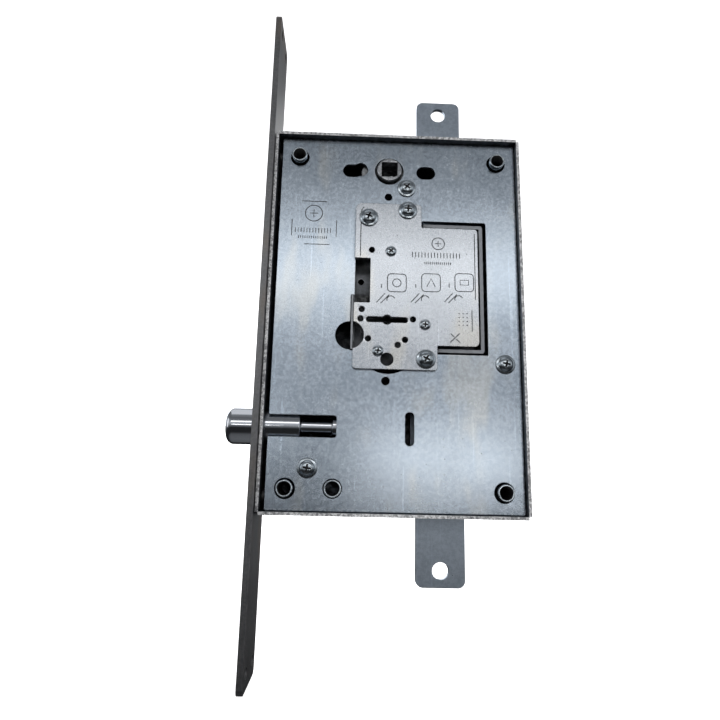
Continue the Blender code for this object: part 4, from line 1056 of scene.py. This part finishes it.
@dataclass
class Cover:
    """Flat cover sheet let into the tray's mouth."""

    sheet: float = SHEET
    edge: float = 0.28
    window_end: float = 39.3
    window_half: float = 5.2
    core_opening: tuple[float, float, float, float] = (48.5, -16.0, 113.2, 54.0)
    step: Point = (80.0, 50.0)
    round_hole: tuple[float, float, float] = (44.4, -7.7, 7.0)
    lobe: tuple[float, float, float] = (63.2, -11.4, 15.0)
    extra_holes: tuple[tuple[float, float, float], ...] = ((62.8, 67.0, 1.9), (62.5, -30.1, 2.0))
    strip_left: float = 44.7
    strip_ends: Point = (-15.1, 13.3)
    notch: Point = (46.5, 32.3)
    corner: float = 0.8
    slot_z: float = 81.4
    slot_inner: float = 17.9
    slot_outer: float = 20.7
    slot_radius: float = 3.5
    side_hole: tuple[float, float, float] = (48.1, 82.2, 3.7)
    post_hole: float = 4.75
    bush_hole: float = 4.5
    hub_hole: float = 7.4
    rod_slot: tuple[float, float, float] = (74.4, -59.0, -47.2)
    rod_slot_radius: float = 2.1
    stroke: float = 0.24

    def opening(self) -> Outline:
        """Make the edge of the big opening under the core plate.

        Returns:
            The opening's outline.
        """
        left, bottom, right, top = self.core_opening
        x, z, r = self.lobe
        dip = math.degrees(math.asin((z - bottom) / r))
        hole_x, hole_z, hole_r = self.round_hole
        side = math.degrees(math.acos((self.strip_left - hole_x) / hole_r))
        strip_bottom, strip_top = self.strip_ends
        notch_x, notch_z = self.notch
        step_x, step_z = self.step
        c = self.corner
        points = [(right, bottom)]
        points += arc((x, z), r, -dip, -180 + dip, 30)
        points += [(left, bottom), (left, strip_bottom), (self.strip_left, strip_bottom)]
        points += arc((hole_x, hole_z), hole_r, 360 - side, side, 40)
        points += [(self.strip_left, strip_top), (notch_x, strip_top), (notch_x, notch_z),
                   (left, notch_z), (left, step_z), (step_x, step_z), (step_x, top - c)]
        points += arc((step_x + c, top - c), c, 180, 90, 4)
        points += arc((right - c, top - c), c, 90, 0, 4)
        return points

    def handle_slots(self) -> list[Outline]:
        """Make the handle screw slots; the left one opens into a round hole.

        Returns:
            The two outlines.
        """
        hub = middle_of("hub_pin").x
        z, inner, outer = self.slot_z, self.slot_inner, self.slot_outer
        left = stadium((hub - outer, z), (hub - inner, z), self.slot_radius)
        right = stadium((hub + inner, z), (hub + outer, z), self.slot_radius)
        x, hole_z, radius = self.side_hole
        return [merged(left, circle((x, hole_z), radius, 40), (46.3, 81.8)), right]

    def build(self) -> None:
        """Make the engraved cover."""
        low, high = place_of("case_cover")
        bolt = middle_of("deadbolt").z
        up, down = bolt + self.window_half, bolt - self.window_half
        corners = [(low.x, low.z), (high.x, low.z), (high.x, high.z), (low.x, high.z), (low.x, up),
                   (self.window_end, up), (self.window_end, down), (low.x, down)]
        outlines = [rounded(corners, [1.0] * 4 + [0, 1.2, 1.2, 0])]
        for place in POST_PLACES:
            spot = middle_of(f"post_{place}")
            outlines.append(circle((spot.x, spot.z), self.post_hole))
        spot = middle_of("fixing_bush")
        outlines.append(circle((spot.x, spot.z), self.bush_hole))
        hub = hinge_place("handle_turn")
        outlines.append(circle((hub.x, hub.z), self.hub_hole, 64))
        outlines += [circle(hole[:2], hole[2], 32) for hole in self.extra_holes]
        for kind in ("cover_screw_", "core_plate_screw_"):
            for index in (1, 2, 3):
                spot = middle_of(f"{kind}{index}")
                outlines.append(circle((spot.x, spot.z), SCREW_PASS, 24))
        outlines += self.handle_slots()
        x, slot_low, slot_high = self.rod_slot
        outlines.append(stadium((x, slot_low), (x, slot_high), self.rod_slot_radius))
        outlines.append(self.opening())
        mesh = Workshop.plate(outlines, low.y, self.sheet, self.edge)
        strokes = Marks.ring(24.4, 56.6, 4.4) + Marks.row(15.2, 34.2, 47.2, 2.6, 1.5)
        strokes += Marks.row(17.0, 32.4, 43.4, 1.5, 1.1)
        strokes += [([(18, 63.2), (31, 63.2)], False), ([(20, 39.6), (33, 39.6)], False),
                    ([(13.4, 44), (13.4, 53)], False), ([(36.2, 44), (36.2, 53)], False)]
        mesh = Marks.cut_into(mesh, strokes, low.y, self.stroke)
        Piece("cover_sheet", mesh, "case", Finishes.get("cover_zinc"), "cover_zinc",
              ("case_cover",)).place()


@dataclass
class CorePlate:
    """Stepped plate over the core, with the keyhole and its engraved marks."""

    sheet: float = SHEET
    edge: float = 0.2
    key: Point = (62.7, 0.4)
    key_reach: float = 10.4
    key_half: float = 1.4
    shank: float = 2.5
    pin_holes: tuple[Point, ...] = ((54.6, 36.8), (50.1, 5.5), (49.6, 0.6), (75.6, 0.9),
                                    (53.5, -9.4), (71.7, -9.6), (68.1, -12.3))
    pin_hole: float = 1.5
    lower_hole: Point = (62.9, -19.6)
    lower_hole_radius: float = 3.2
    foot_corner: Point = (87.7, -12.2)
    step: Point = (79.8, 49.7)
    notch_right: float = 54.0
    notch_ends: Point = (9.0, 32.3)
    radii: tuple[float, ...] = (1.6, 1.6, 0.6, 2.5, 1.8, 0.6, 1.8, 3.2, 0.5, 0.6, 0.6, 0.5)
    stroke: float = 0.27

    def keyhole(self) -> Outline:
        """Make the keyhole: a level slot with round ends and a round middle.

        Returns:
            The keyhole's outline.
        """
        x, z = self.key
        lift = math.degrees(math.asin(self.key_half / self.shank))
        reach = self.key_reach - self.key_half
        return (arc((x + reach, z), self.key_half, -90, 90, 10)
                + arc((x, z), self.shank, lift, 180 - lift, 12)
                + arc((x - reach, z), self.key_half, 90, 270, 10)
                + arc((x, z), self.shank, 180 + lift, 360 - lift, 12))

    def outline(self, low: Vector, high: Vector) -> Outline:
        """Make the plate's outer edge, with its notch and its round bite.

        Args:
            low: Lowest corner of the plate.
            high: Highest corner of the plate.

        Returns:
            The outline.
        """
        foot_x, foot_z = self.foot_corner
        step_x, step_z = self.step
        notch_x, (notch_low, notch_high) = self.notch_right, self.notch_ends
        corners = [(low.x, low.z), (foot_x, low.z), (foot_x, foot_z), (high.x, foot_z),
                   (high.x, step_z), (step_x, step_z), (step_x, high.z), (low.x, high.z),
                   (low.x, notch_high), (notch_x, notch_high), (notch_x, notch_low),
                   (low.x, notch_low)]
        bite_x, bite_z, bite_r = Cover().round_hole
        side = math.degrees(math.acos((low.x - bite_x) / bite_r))
        return rounded(corners, list(self.radii)) + arc((bite_x, bite_z), bite_r, side, -side, 24)

    def strokes(self) -> list[tuple[Outline, bool]]:
        """Return the plate's engraved strokes."""
        strokes = Marks.ring(88.3, 41.2, 3.2) + Marks.row(75.2, 100.4, 34.9, 2.8, 1.6)
        strokes += Marks.row(81.5, 94.5, 30.6, 1.4, 1.0)
        for index, (x, z) in enumerate(((67.4, 19.6), (84.6, 20.2), (101.4, 20.8))):
            strokes += Marks.tile(x, z, 4.7, index)
        for row in range(4):
            for column in range(3):
                spot = (98.6 + column * 2.0, -1.4 + row * 2.0)
                strokes.append(([(spot[0] - 0.35, spot[1]), (spot[0] + 0.35, spot[1])], False))
        strokes += [([(48.8, 33.4), (48.8, 57.6), (49.2, 59.0), (50.2, 60.2)], False),
                    ([(106.9, 12.0), (106.9, 47.0)], False),
                    ([(94.0, -10.2), (98.8, -5.6)], False), ([(94.2, -5.8), (96.0, -7.4)], False),
                    ([(97.0, -8.6), (98.8, -10.2)], False), ([(105.0, -4.5), (105.0, 6.5)], False)]
        return strokes

    def build(self) -> None:
        """Make the engraved plate."""
        low, high = place_of("core_plate")
        outlines = [self.outline(low, high), self.keyhole(),
                    circle(self.lower_hole, self.lower_hole_radius)]
        outlines += [circle(centre, self.pin_hole, 28) for centre in self.pin_holes]
        for index in (1, 2, 3):
            spot = middle_of(f"core_plate_screw_{index}")
            outlines.append(circle((spot.x, spot.z), SCREW_PASS, 24))
            spot = middle_of(f"core_screw_{index}")
            outlines.append(circle((spot.x, spot.z), self.pin_hole, 24))
        mesh = Workshop.plate(outlines, low.y, self.sheet, self.edge)
        mesh.materials.append(Finishes.get("core_steel"))
        mesh = Marks.cut_into(mesh, self.strokes(), low.y, self.stroke)
        Piece("core_cover_plate", mesh, "case", Finishes.get("core_steel"), "core_steel",
              ("core_plate",)).place()


@dataclass
class Deadbolt:
    """Bright round bolt with a rounded nose, a thinner neck and an end collar."""

    radius: float = 9.0
    nose: float = 3.6
    shoulder: float = 22.4
    neck: float = 5.5
    collar_start: float = 37.3
    collar: float = 7.35

    def build(self) -> None:
        """Make the bolt."""
        low, high = place_of("deadbolt")
        z = middle_of("deadbolt").z
        front, r, n = -low.x, self.radius, self.neck
        back, cs, cr = -high.x, -self.collar_start, self.collar
        profile = [(0, front)]
        profile += arc((r - self.nose, front - self.nose), self.nose, 90, 0, 16)
        profile += [(r, -self.shoulder + 1.1), (r - 0.15, -self.shoulder + 0.75),
                    (r - 0.95, -self.shoulder + 0.1), (r - 1.2, -self.shoulder)]
        profile += [(n + 0.35, -self.shoulder), (n + 0.1, -self.shoulder - 0.1),
                    (n, -self.shoulder - 0.4), (n, cs + 0.4), (n + 0.35, cs), (cr - 0.5, cs)]
        profile += arc((cr - 0.5, cs - 0.5), 0.5, 90, 0, 6)
        profile += arc((cr - 0.5, back + 0.5), 0.5, 0, -90, 6)
        profile += [(0, back)]
        mesh = Workshop.turned(profile, Axis.DOOR_EDGE, (0, 0, z), 96)
        Piece("bolt_bar", mesh, "carriage", Finishes.get("bolt_chrome"), "bolt_chrome",
              ("deadbolt",)).place()


@dataclass
class Fixings:
    """Tubular posts and cross-head screws."""

    post_radius: float = 4.0
    post_bore: float = 3.1
    flange: float = 4.8
    head: float = 3.6
    head_height: float = 2.5
    small_height: float = 1.0
    cover_shank: float = 6.2
    plate_shank: float = 4.7

    @staticmethod
    def cross(top: float, width: float, reach: float, depth: float) -> bpy.types.Mesh:
        """Make a tapered cross-shaped cutter for a screw head.

        Args:
            top: Height of the head's top.
            width: Half width of an arm.
            reach: Length of an arm.
            depth: Depth of the recess.

        Returns:
            The cutter, with its axis towards the cover side.
        """
        builder = bmesh.new()
        rings = []
        for height, share in ((top + 0.4, 1.1), (top - depth * 0.7, 0.8), (top - depth, 0.25)):
            ring = []
            for quarter in range(4):
                spin = Matrix.Rotation(quarter * math.pi / 2, 2)
                for corner in ((width, width), (width * 0.8, reach * share), (-width * 0.8, reach * share)):
                    x, z = spin @ Vector(corner)
                    ring.append(builder.verts.new((x * MM, -height * MM, z * MM)))
            rings.append(ring)
        count = len(rings[0])
        for upper, lower in zip(rings, rings[1:]):
            for i in range(count):
                j = (i + 1) % count
                builder.faces.new((upper[i], upper[j], lower[j], lower[i]))
        builder.faces.new(rings[0])
        builder.faces.new(rings[-1])
        bmesh.ops.recalc_face_normals(builder, faces=builder.faces)
        mesh = bpy.data.meshes.new("cross")
        builder.to_mesh(mesh)
        builder.free()
        # The recess faces take the near-black bore finish: painted shade in the cross
        mesh.materials.append(Finishes.get("bore_painted_shade"))
        return mesh

    def pan_screw(self, length: float) -> bpy.types.Mesh:
        """Make a pan-head screw with a flange, seated at depth zero.

        Args:
            length: Length of the shank.

        Returns:
            The screw's mesh.
        """
        h, top = self.head, self.head_height
        dome = [(0, top), (1.0, top - 0.03), (1.8, top - 0.15), (2.6, top - 0.42), (3.1, top - 0.72),
                (3.45, top - 1.1), (h, top - 1.5), (h, 0.75), (h + 0.12, 0.62), (self.flange - 0.25, 0.5),
                (self.flange - 0.06, 0.4), (self.flange, 0.25), (self.flange, 0.06),
                (self.flange - 0.06, 0), (1.5, 0), (1.5, -length), (1.2, -length - 0.3),
                (0, -length - 0.3)]
        body = Workshop.turned(dome, Axis.COVER, (0, 0, 0), 56)
        body.materials.append(Finishes.get("screw_zinc"))
        return Workshop.cut(body, [self.cross(top, 0.5, 2.1, 1.25)], soften=0.06)

    def small_screw(self) -> bpy.types.Mesh:
        """Return a small flat-head screw, seated at depth zero."""
        profile = [(0, 1.0), (1.2, 0.97), (2.0, 0.8), (2.5, 0.45), (2.68, 0.2), (2.7, 0.05), (2.65, 0),
                   (1.2, 0), (1.2, -7.2), (1.0, -7.5), (0, -7.5)]
        body = Workshop.turned(profile, Axis.COVER, (0, 0, 0), 48)
        body.materials.append(Finishes.get("screw_zinc"))
        return Workshop.cut(body, [self.cross(1.0, 0.4, 1.6, 0.85)], soften=0.05)

    def set_screw(self, node: str, mesh: bpy.types.Mesh, turn: float) -> None:
        """Seat a screw where its frame node is.

        Args:
            node: Frame node that the screw stands for.
            mesh: The screw's mesh, seated at the origin.
            turn: Angle of its cross in degrees.
        """
        low, high = place_of(node)
        spot = (low + high) / 2
        seat = low.y + (self.small_height if node.startswith("core_screw") else self.head_height)
        copy = mesh.copy()
        copy.transform(Matrix.Translation(Vector((spot.x, seat, spot.z)) * MM)
                       @ Matrix.Rotation(math.radians(turn), 4, "Y"))
        Piece(f"{node}_shaped", copy, "case", Finishes.get("screw_zinc"), "screw_zinc",
              (node,)).place()

    def paint_bore_shade(self, mesh: bpy.types.Mesh, spot: Vector) -> None:
        """Give a post's bore a near-black finish: painted shade down the bore.

        Args:
            mesh: The post's mesh.
            spot: The post's middle.
        """
        mesh.materials.append(Finishes.get("screw_zinc"))
        mesh.materials.append(Finishes.get("bore_painted_shade"))
        for face in mesh.polygons:
            away = math.hypot(face.center.x / MM - spot.x, face.center.z / MM - spot.z)
            face.material_index = 1 if away < self.post_bore + 0.02 else 0

    def build(self) -> None:
        """Make the posts and set every screw at its own angle."""
        r, b = self.post_radius, self.post_bore
        for place in POST_PLACES:
            node = f"post_{place}"
            low, high = place_of(node)
            spot = middle_of(node)
            top, foot = -low.y, -high.y
            profile = arc((r - 0.35, top - 0.35), 0.35, 90, 0, 6) + [(r, foot), (b, foot)]
            profile += arc((b + 0.3, top - 0.3), 0.3, 180, 90, 6)
            mesh = Workshop.turned(profile, Axis.COVER, (spot.x, 0, spot.z), 56, closed=True)
            self.paint_bore_shade(mesh, spot)
            Piece(f"{node}_tube", mesh, "case", Finishes.get("screw_zinc"), "screw_zinc",
                  (node,)).place()
        cover, plate = self.pan_screw(self.cover_shank), self.pan_screw(self.plate_shank)
        small = self.small_screw()
        for index, turn in ((1, 12), (2, 8), (3, 38)):
            self.set_screw(f"cover_screw_{index}", cover, turn)
        for index, turn in ((1, 5), (2, 20), (3, 28)):
            self.set_screw(f"core_plate_screw_{index}", plate, turn)
        for index, turn in ((1, 42), (2, 3), (3, 8)):
            self.set_screw(f"core_screw_{index}", small, turn)


@dataclass
class Rods:
    """Flat bars that leave the case above and below."""

    tab_half: float = 12.0
    hole: float = 4.0
    hole_from_end: float = 7.8
    corner: float = 3.5
    drive: Point = (95.0, 0.0)
    throw: float = 14.0
    slot: float = 2.3
    foot_half: float = 18.5
    neck_left: float = 89.0
    edge: float = 0.2

    def bar(self, node: str, sign: int, drive_z: float) -> None:
        """Make one bar.

        Args:
            node: Frame node of the bar.
            sign: 1 for the upper bar and -1 for the lower one.
            drive_z: Height of its drive pin.
        """
        low, high = place_of(node)
        case_low, case_high = place_of("case_tray")
        end = high.z if sign > 0 else low.z
        wall = (case_high.z if sign > 0 else case_low.z) - sign * 0.5
        left, right = BAR_X - self.tab_half, BAR_X + self.tab_half
        foot_in, foot_out = drive_z - sign * self.foot_half, drive_z + sign * self.foot_half
        corners = [(low.x, foot_in), (low.x, foot_out), (self.neck_left, foot_out),
                   (self.neck_left, wall), (left, wall), (left, end), (right, end),
                   (right, foot_out), (high.x, foot_out), (high.x, foot_in)]
        radii = [2, 2, 1.5, 0.8, 0.8, self.corner, self.corner, 1.5, 2, 2]
        if sign > 0:
            corners.reverse()
            radii.reverse()
        run = self.throw
        slot = stadium((self.drive[0] - run, drive_z - sign * run),
                       (self.drive[0] + run, drive_z + sign * run), self.slot)
        hole = circle((BAR_X, end - sign * self.hole_from_end), self.hole)
        mesh = Workshop.plate([rounded(corners, radii), slot, hole], low.y, high.y - low.y, self.edge)
        Piece(f"{node}_bar", mesh, node, Finishes.get("rod_steel"), "rod_steel", (node,)).place()

    def build(self) -> None:
        """Make both bars."""
        self.bar("top_rod", 1, middle_of("drive_pin_top").z)
        self.bar("bottom_rod", -1, middle_of("drive_pin_bottom").z)


@dataclass
class LeverSprings:
    """Bent wire springs that push the levers down."""

    wire: float = 0.3
    bends: int = 3
    steps: int = 60
    lift: float = 2.5

    def build(self) -> None:
        """Make one spring above each lever."""
        for index in range(1, 7):
            node = f"lever_spring_{index}"
            low, high = place_of(node)
            middle = (low + high) / 2
            curve = bpy.data.curves.new(node, "CURVE")
            curve.dimensions = "3D"
            curve.bevel_depth = self.wire * MM
            curve.bevel_resolution = 3
            curve.use_fill_caps = True
            spline = curve.splines.new("POLY")
            spline.points.add(self.steps)
            width = (high.x - low.x) / 2 - self.wire
            rise = high.z - low.z - 2 * self.wire
            for step, point in enumerate(spline.points):
                share = step / self.steps
                height = low.z + self.wire + rise * (0.5 + 0.5 * math.cos(share * self.bends * math.pi))
                point.co = ((middle.x + (2 * share - 1) * width) * MM, middle.y * MM, height * MM, 1)
            mesh = Workshop.baked(bpy.data.objects.new(node, curve))
            thing = Piece(f"{node}_wire", mesh, "case", Finishes.get("spring_steel"),
                          "spring_steel", (node,)).place()
            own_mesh(thing)


@dataclass
class InnerWorks:
    """Frame parts that keep their own shape, with softened edges and a finish."""

    finishes: dict[str, str] = field(default_factory=lambda: {
        "bolt_carriage": "inner_steel", "bolt_saddle": "inner_steel", "bolt_guide": "inner_steel",
        "drive_pin_top": "screw_zinc", "drive_pin_bottom": "screw_zinc", "core_stud": "screw_zinc",
        "guide_stud_upper": "screw_zinc", "guide_stud_lower": "screw_zinc",
        "handle_hub": "hub_steel", "hub_pin": "screw_zinc", "core_box": "box_steel",
        "core_pillar_1": "inner_steel", "core_pillar_2": "inner_steel", "core_pillar_3": "inner_steel",
        "cover_pillar_back": "inner_steel", "cover_pillar_front": "inner_steel",
        "cover_nut": "inner_steel", "fixing_bush": "screw_zinc", "lever_guide_pin": "screw_zinc",
        "drill_plate": "dark_plate", "core_slider": "inner_steel",
        "lever_1": "lever_brass", "lever_2": "lever_brass", "lever_3": "lever_brass",
        "lever_4": "lever_brass", "lever_5": "lever_brass", "lever_6": "lever_brass"})
    edge: float = 0.12

    def soften(self, thing: bpy.types.Object) -> None:
        """Join the split faces of a frame part and round its sharp edges.

        Args:
            thing: The frame part.
        """
        weld = thing.modifiers.new("weld", "WELD")
        weld.merge_threshold = 0.003 * MM
        bevel = thing.modifiers.new("soften", "BEVEL")
        bevel.width = self.edge * MM
        bevel.segments = 2
        bevel.limit_method = "ANGLE"
        bevel.angle_limit = math.radians(38)
        weighted = thing.modifiers.new("even_normals", "WEIGHTED_NORMAL")
        weighted.keep_sharp = False

    def build(self) -> None:
        """Dress every part."""
        for name, finish in self.finishes.items():
            thing = frame["nodes"][name]
            for slot in thing.material_slots:
                slot.material = Finishes.get(finish)
            self.soften(thing)
            LOG.info("dressed %s in %s", name, finish)


@dataclass
class Studio:
    """Pale floor, pale backdrop, soft lights and the camera."""

    floor_drop: float = 0.3
    camera_place: tuple[float, float, float] = (0.043104, -0.278757, -0.074772)
    right: tuple[float, float, float] = (0.99931, -0.02962, 0.02242)
    forward: tuple[float, float, float] = (0.02457, 0.97968, 0.19907)
    up: tuple[float, float, float] = (-0.02786, -0.19839, 0.97973)
    lens: float = 28.10

    @staticmethod
    def pale(name: str, colour: Colour, glow: float) -> bpy.types.Material:
        """Make the pale paper of the floor and the backdrop.

        Args:
            name: Material name.
            colour: Paper colour.
            glow: How much it shines by itself.

        Returns:
            The material.
        """
        material = bpy.data.materials.new(name)
        material.use_nodes = True
        n = Nodes(material.node_tree)
        shader = material.node_tree.nodes["Principled BSDF"]
        shade = n.noise(n.scaled((1.0, 1.0, 1.0)), 12.0, 2.0)
        n.feed(shader.inputs["Base Color"],
               n.blend(n.spread(shade, 0.3, 0.7), colour, tuple(c * 0.985 for c in colour)))
        shader.inputs["Roughness"].default_value = 0.9
        shader.inputs["Specular IOR Level"].default_value = 0.1
        shader.inputs["Emission Color"].default_value = (1.0, 1.0, 1.0, 1.0)
        shader.inputs["Emission Strength"].default_value = glow
        return material

    def sheet(self, name: str, corners: list[tuple[float, float, float]],
              material: bpy.types.Material) -> None:
        """Lay one flat sheet of the set.

        Args:
            name: Object name.
            corners: Its four corners in metres.
            material: Its paper.
        """
        mesh = bpy.data.meshes.new(name)
        mesh.from_pydata(corners, [], [(0, 1, 2, 3)])
        mesh.materials.append(material)
        thing = bpy.data.objects.new(name, mesh)
        thing.visible_glossy = False
        bpy.context.scene.collection.objects.link(thing)

    @staticmethod
    def lamp(name: str, place: tuple[float, float, float], aim: tuple[float, float, float],
             size: Point, power: float, colour: Colour) -> None:
        """Hang one soft lamp.

        Args:
            name: Lamp name.
            place: Where it hangs, in metres.
            aim: What it points at.
            size: Width and height in metres.
            power: Power in watts.
            colour: Colour of its light.
        """
        light = bpy.data.lights.new(name, "AREA")
        light.shape = "RECTANGLE"
        light.size, light.size_y = size
        light.energy = power
        light.color = colour
        lamp = bpy.data.objects.new(name, light)
        lamp.location = place
        way = Vector(aim) - Vector(place)
        lamp.rotation_euler = way.to_track_quat("-Z", "Y").to_euler()
        bpy.context.scene.collection.objects.link(lamp)

    def sky(self) -> None:
        """Give the room a soft gradient, paler high up."""
        world = bpy.data.worlds.new("room")
        bpy.context.scene.world = world
        world.use_nodes = True
        n = Nodes(world.node_tree)
        way = n.add("ShaderNodeTexCoord").outputs["Generated"]
        split = n.add("ShaderNodeSeparateXYZ")
        n.feed(split.inputs[0], way)
        ramp = n.add("ShaderNodeValToRGB")
        n.feed(ramp.inputs[0], n.math("ADD", n.math("MULTIPLY", split.outputs["Z"], 0.5), 0.5))
        stops = ((0.0, 0.14), (0.08, 0.11), (0.16, 0.02), (0.38, 0.02), (0.46, 0.14), (0.50, 0.25),
                 (0.54, 0.38), (0.58, 0.50), (0.62, 0.52), (0.70, 0.40), (0.76, 0.20), (0.86, 0.14),
                 (1.0, 0.30))
        ramp.color_ramp.elements[0].position = stops[0][0]
        ramp.color_ramp.elements[1].position = stops[-1][0]
        for place, _ in stops[1:-1]:
            ramp.color_ramp.elements.new(place)
        for element, (_, level) in zip(ramp.color_ramp.elements, stops):
            element.color = (level * 0.95, level * 0.985, level * 1.03, 1.0)
        back = world.node_tree.nodes["Background"]
        n.feed(back.inputs["Color"], ramp.outputs[0])
        back.inputs["Strength"].default_value = 1.0

    def build(self) -> None:
        """Set up the whole studio."""
        scene = bpy.context.scene
        scene.view_settings.view_transform = "Standard"
        self.sky()
        low = CAD_BOX[0][2] - self.floor_drop * MM
        paper = self.pale("floor_paper", (0.93, 0.93, 0.93), 0.85)
        wall = self.pale("wall_paper", (0.95, 0.95, 0.95), 0.9)
        self.sheet("floor", [(-2.2, -0.6, low), (2.2, -0.6, low), (2.2, 1.3, low), (-2.2, 1.3, low)],
                   paper)
        self.sheet("backdrop", [(-3.0, 1.3, low - 0.05), (3.0, 1.3, low - 0.05), (3.0, 1.3, 2.4),
                                (-3.0, 1.3, 2.4)], wall)
        self.lamp("key_box", (0.10, -1.5, 0.59), (0.06, 0.0, 0.02), (1.7, 0.20), 2.1,
                  (1.0, 0.99, 0.97))
        self.lamp("low_box", (0.38, -1.6, -0.03), (0.07, 0.0, -0.06), (0.56, 0.15), 0.75,
                  (1.0, 0.985, 0.96))
        self.lamp("low_left_box", (-0.30, -1.6, 0.07), (0.0, 0.0, -0.05), (0.22, 0.07), 0.16,
                  (1.0, 0.99, 0.97))
        self.lamp("top_box", (0.0, 0.2, 1.2), (0.05, 0.0, 0.0), (1.4, 1.2), 2.6, (0.97, 0.98, 1.0))
        self.lamp("left_box", (-1.2, -0.3, 0.2), (0.0, 0.0, 0.0), (0.5, 0.8), 1.0, (0.98, 0.99, 1.0))
        self.lamp("right_box", (1.3, 0.35, 0.3), (0.12, 0.02, 0.0), (0.9, 1.2), 5.0, (1.0, 0.99, 0.98))
        self.lamp("back_box", (-0.4, 1.15, 0.5), (0.05, 0.0, 0.0), (1.6, 1.0), 9.0, (0.98, 0.99, 1.0))
        camera = bpy.data.cameras.new("camera")
        camera.lens = self.lens
        camera.sensor_width = 36.0
        camera.clip_start = 0.01
        view = bpy.data.objects.new("camera", camera)
        columns = (self.right, self.up, tuple(-c for c in self.forward), self.camera_place)
        view.matrix_world = Matrix([[column[row] for column in columns] for row in range(3)]
                                   + [[0.0, 0.0, 0.0, 1.0]])
        scene.collection.objects.link(view)
        scene.camera = view


def main() -> None:
    """Build the lock's finished pieces in order, then the studio."""
    logging.basicConfig(level=logging.INFO, format="%(name)s: %(message)s")
    for part in (Forend(), CaseTray(), Cover(), CorePlate(), Deadbolt(), Fixings(), Rods(),
                 LeverSprings(), InnerWorks(), Studio()):
        part.build()
        LOG.info("finished %s", type(part).__name__)


if __name__ == "__main__":
    main()
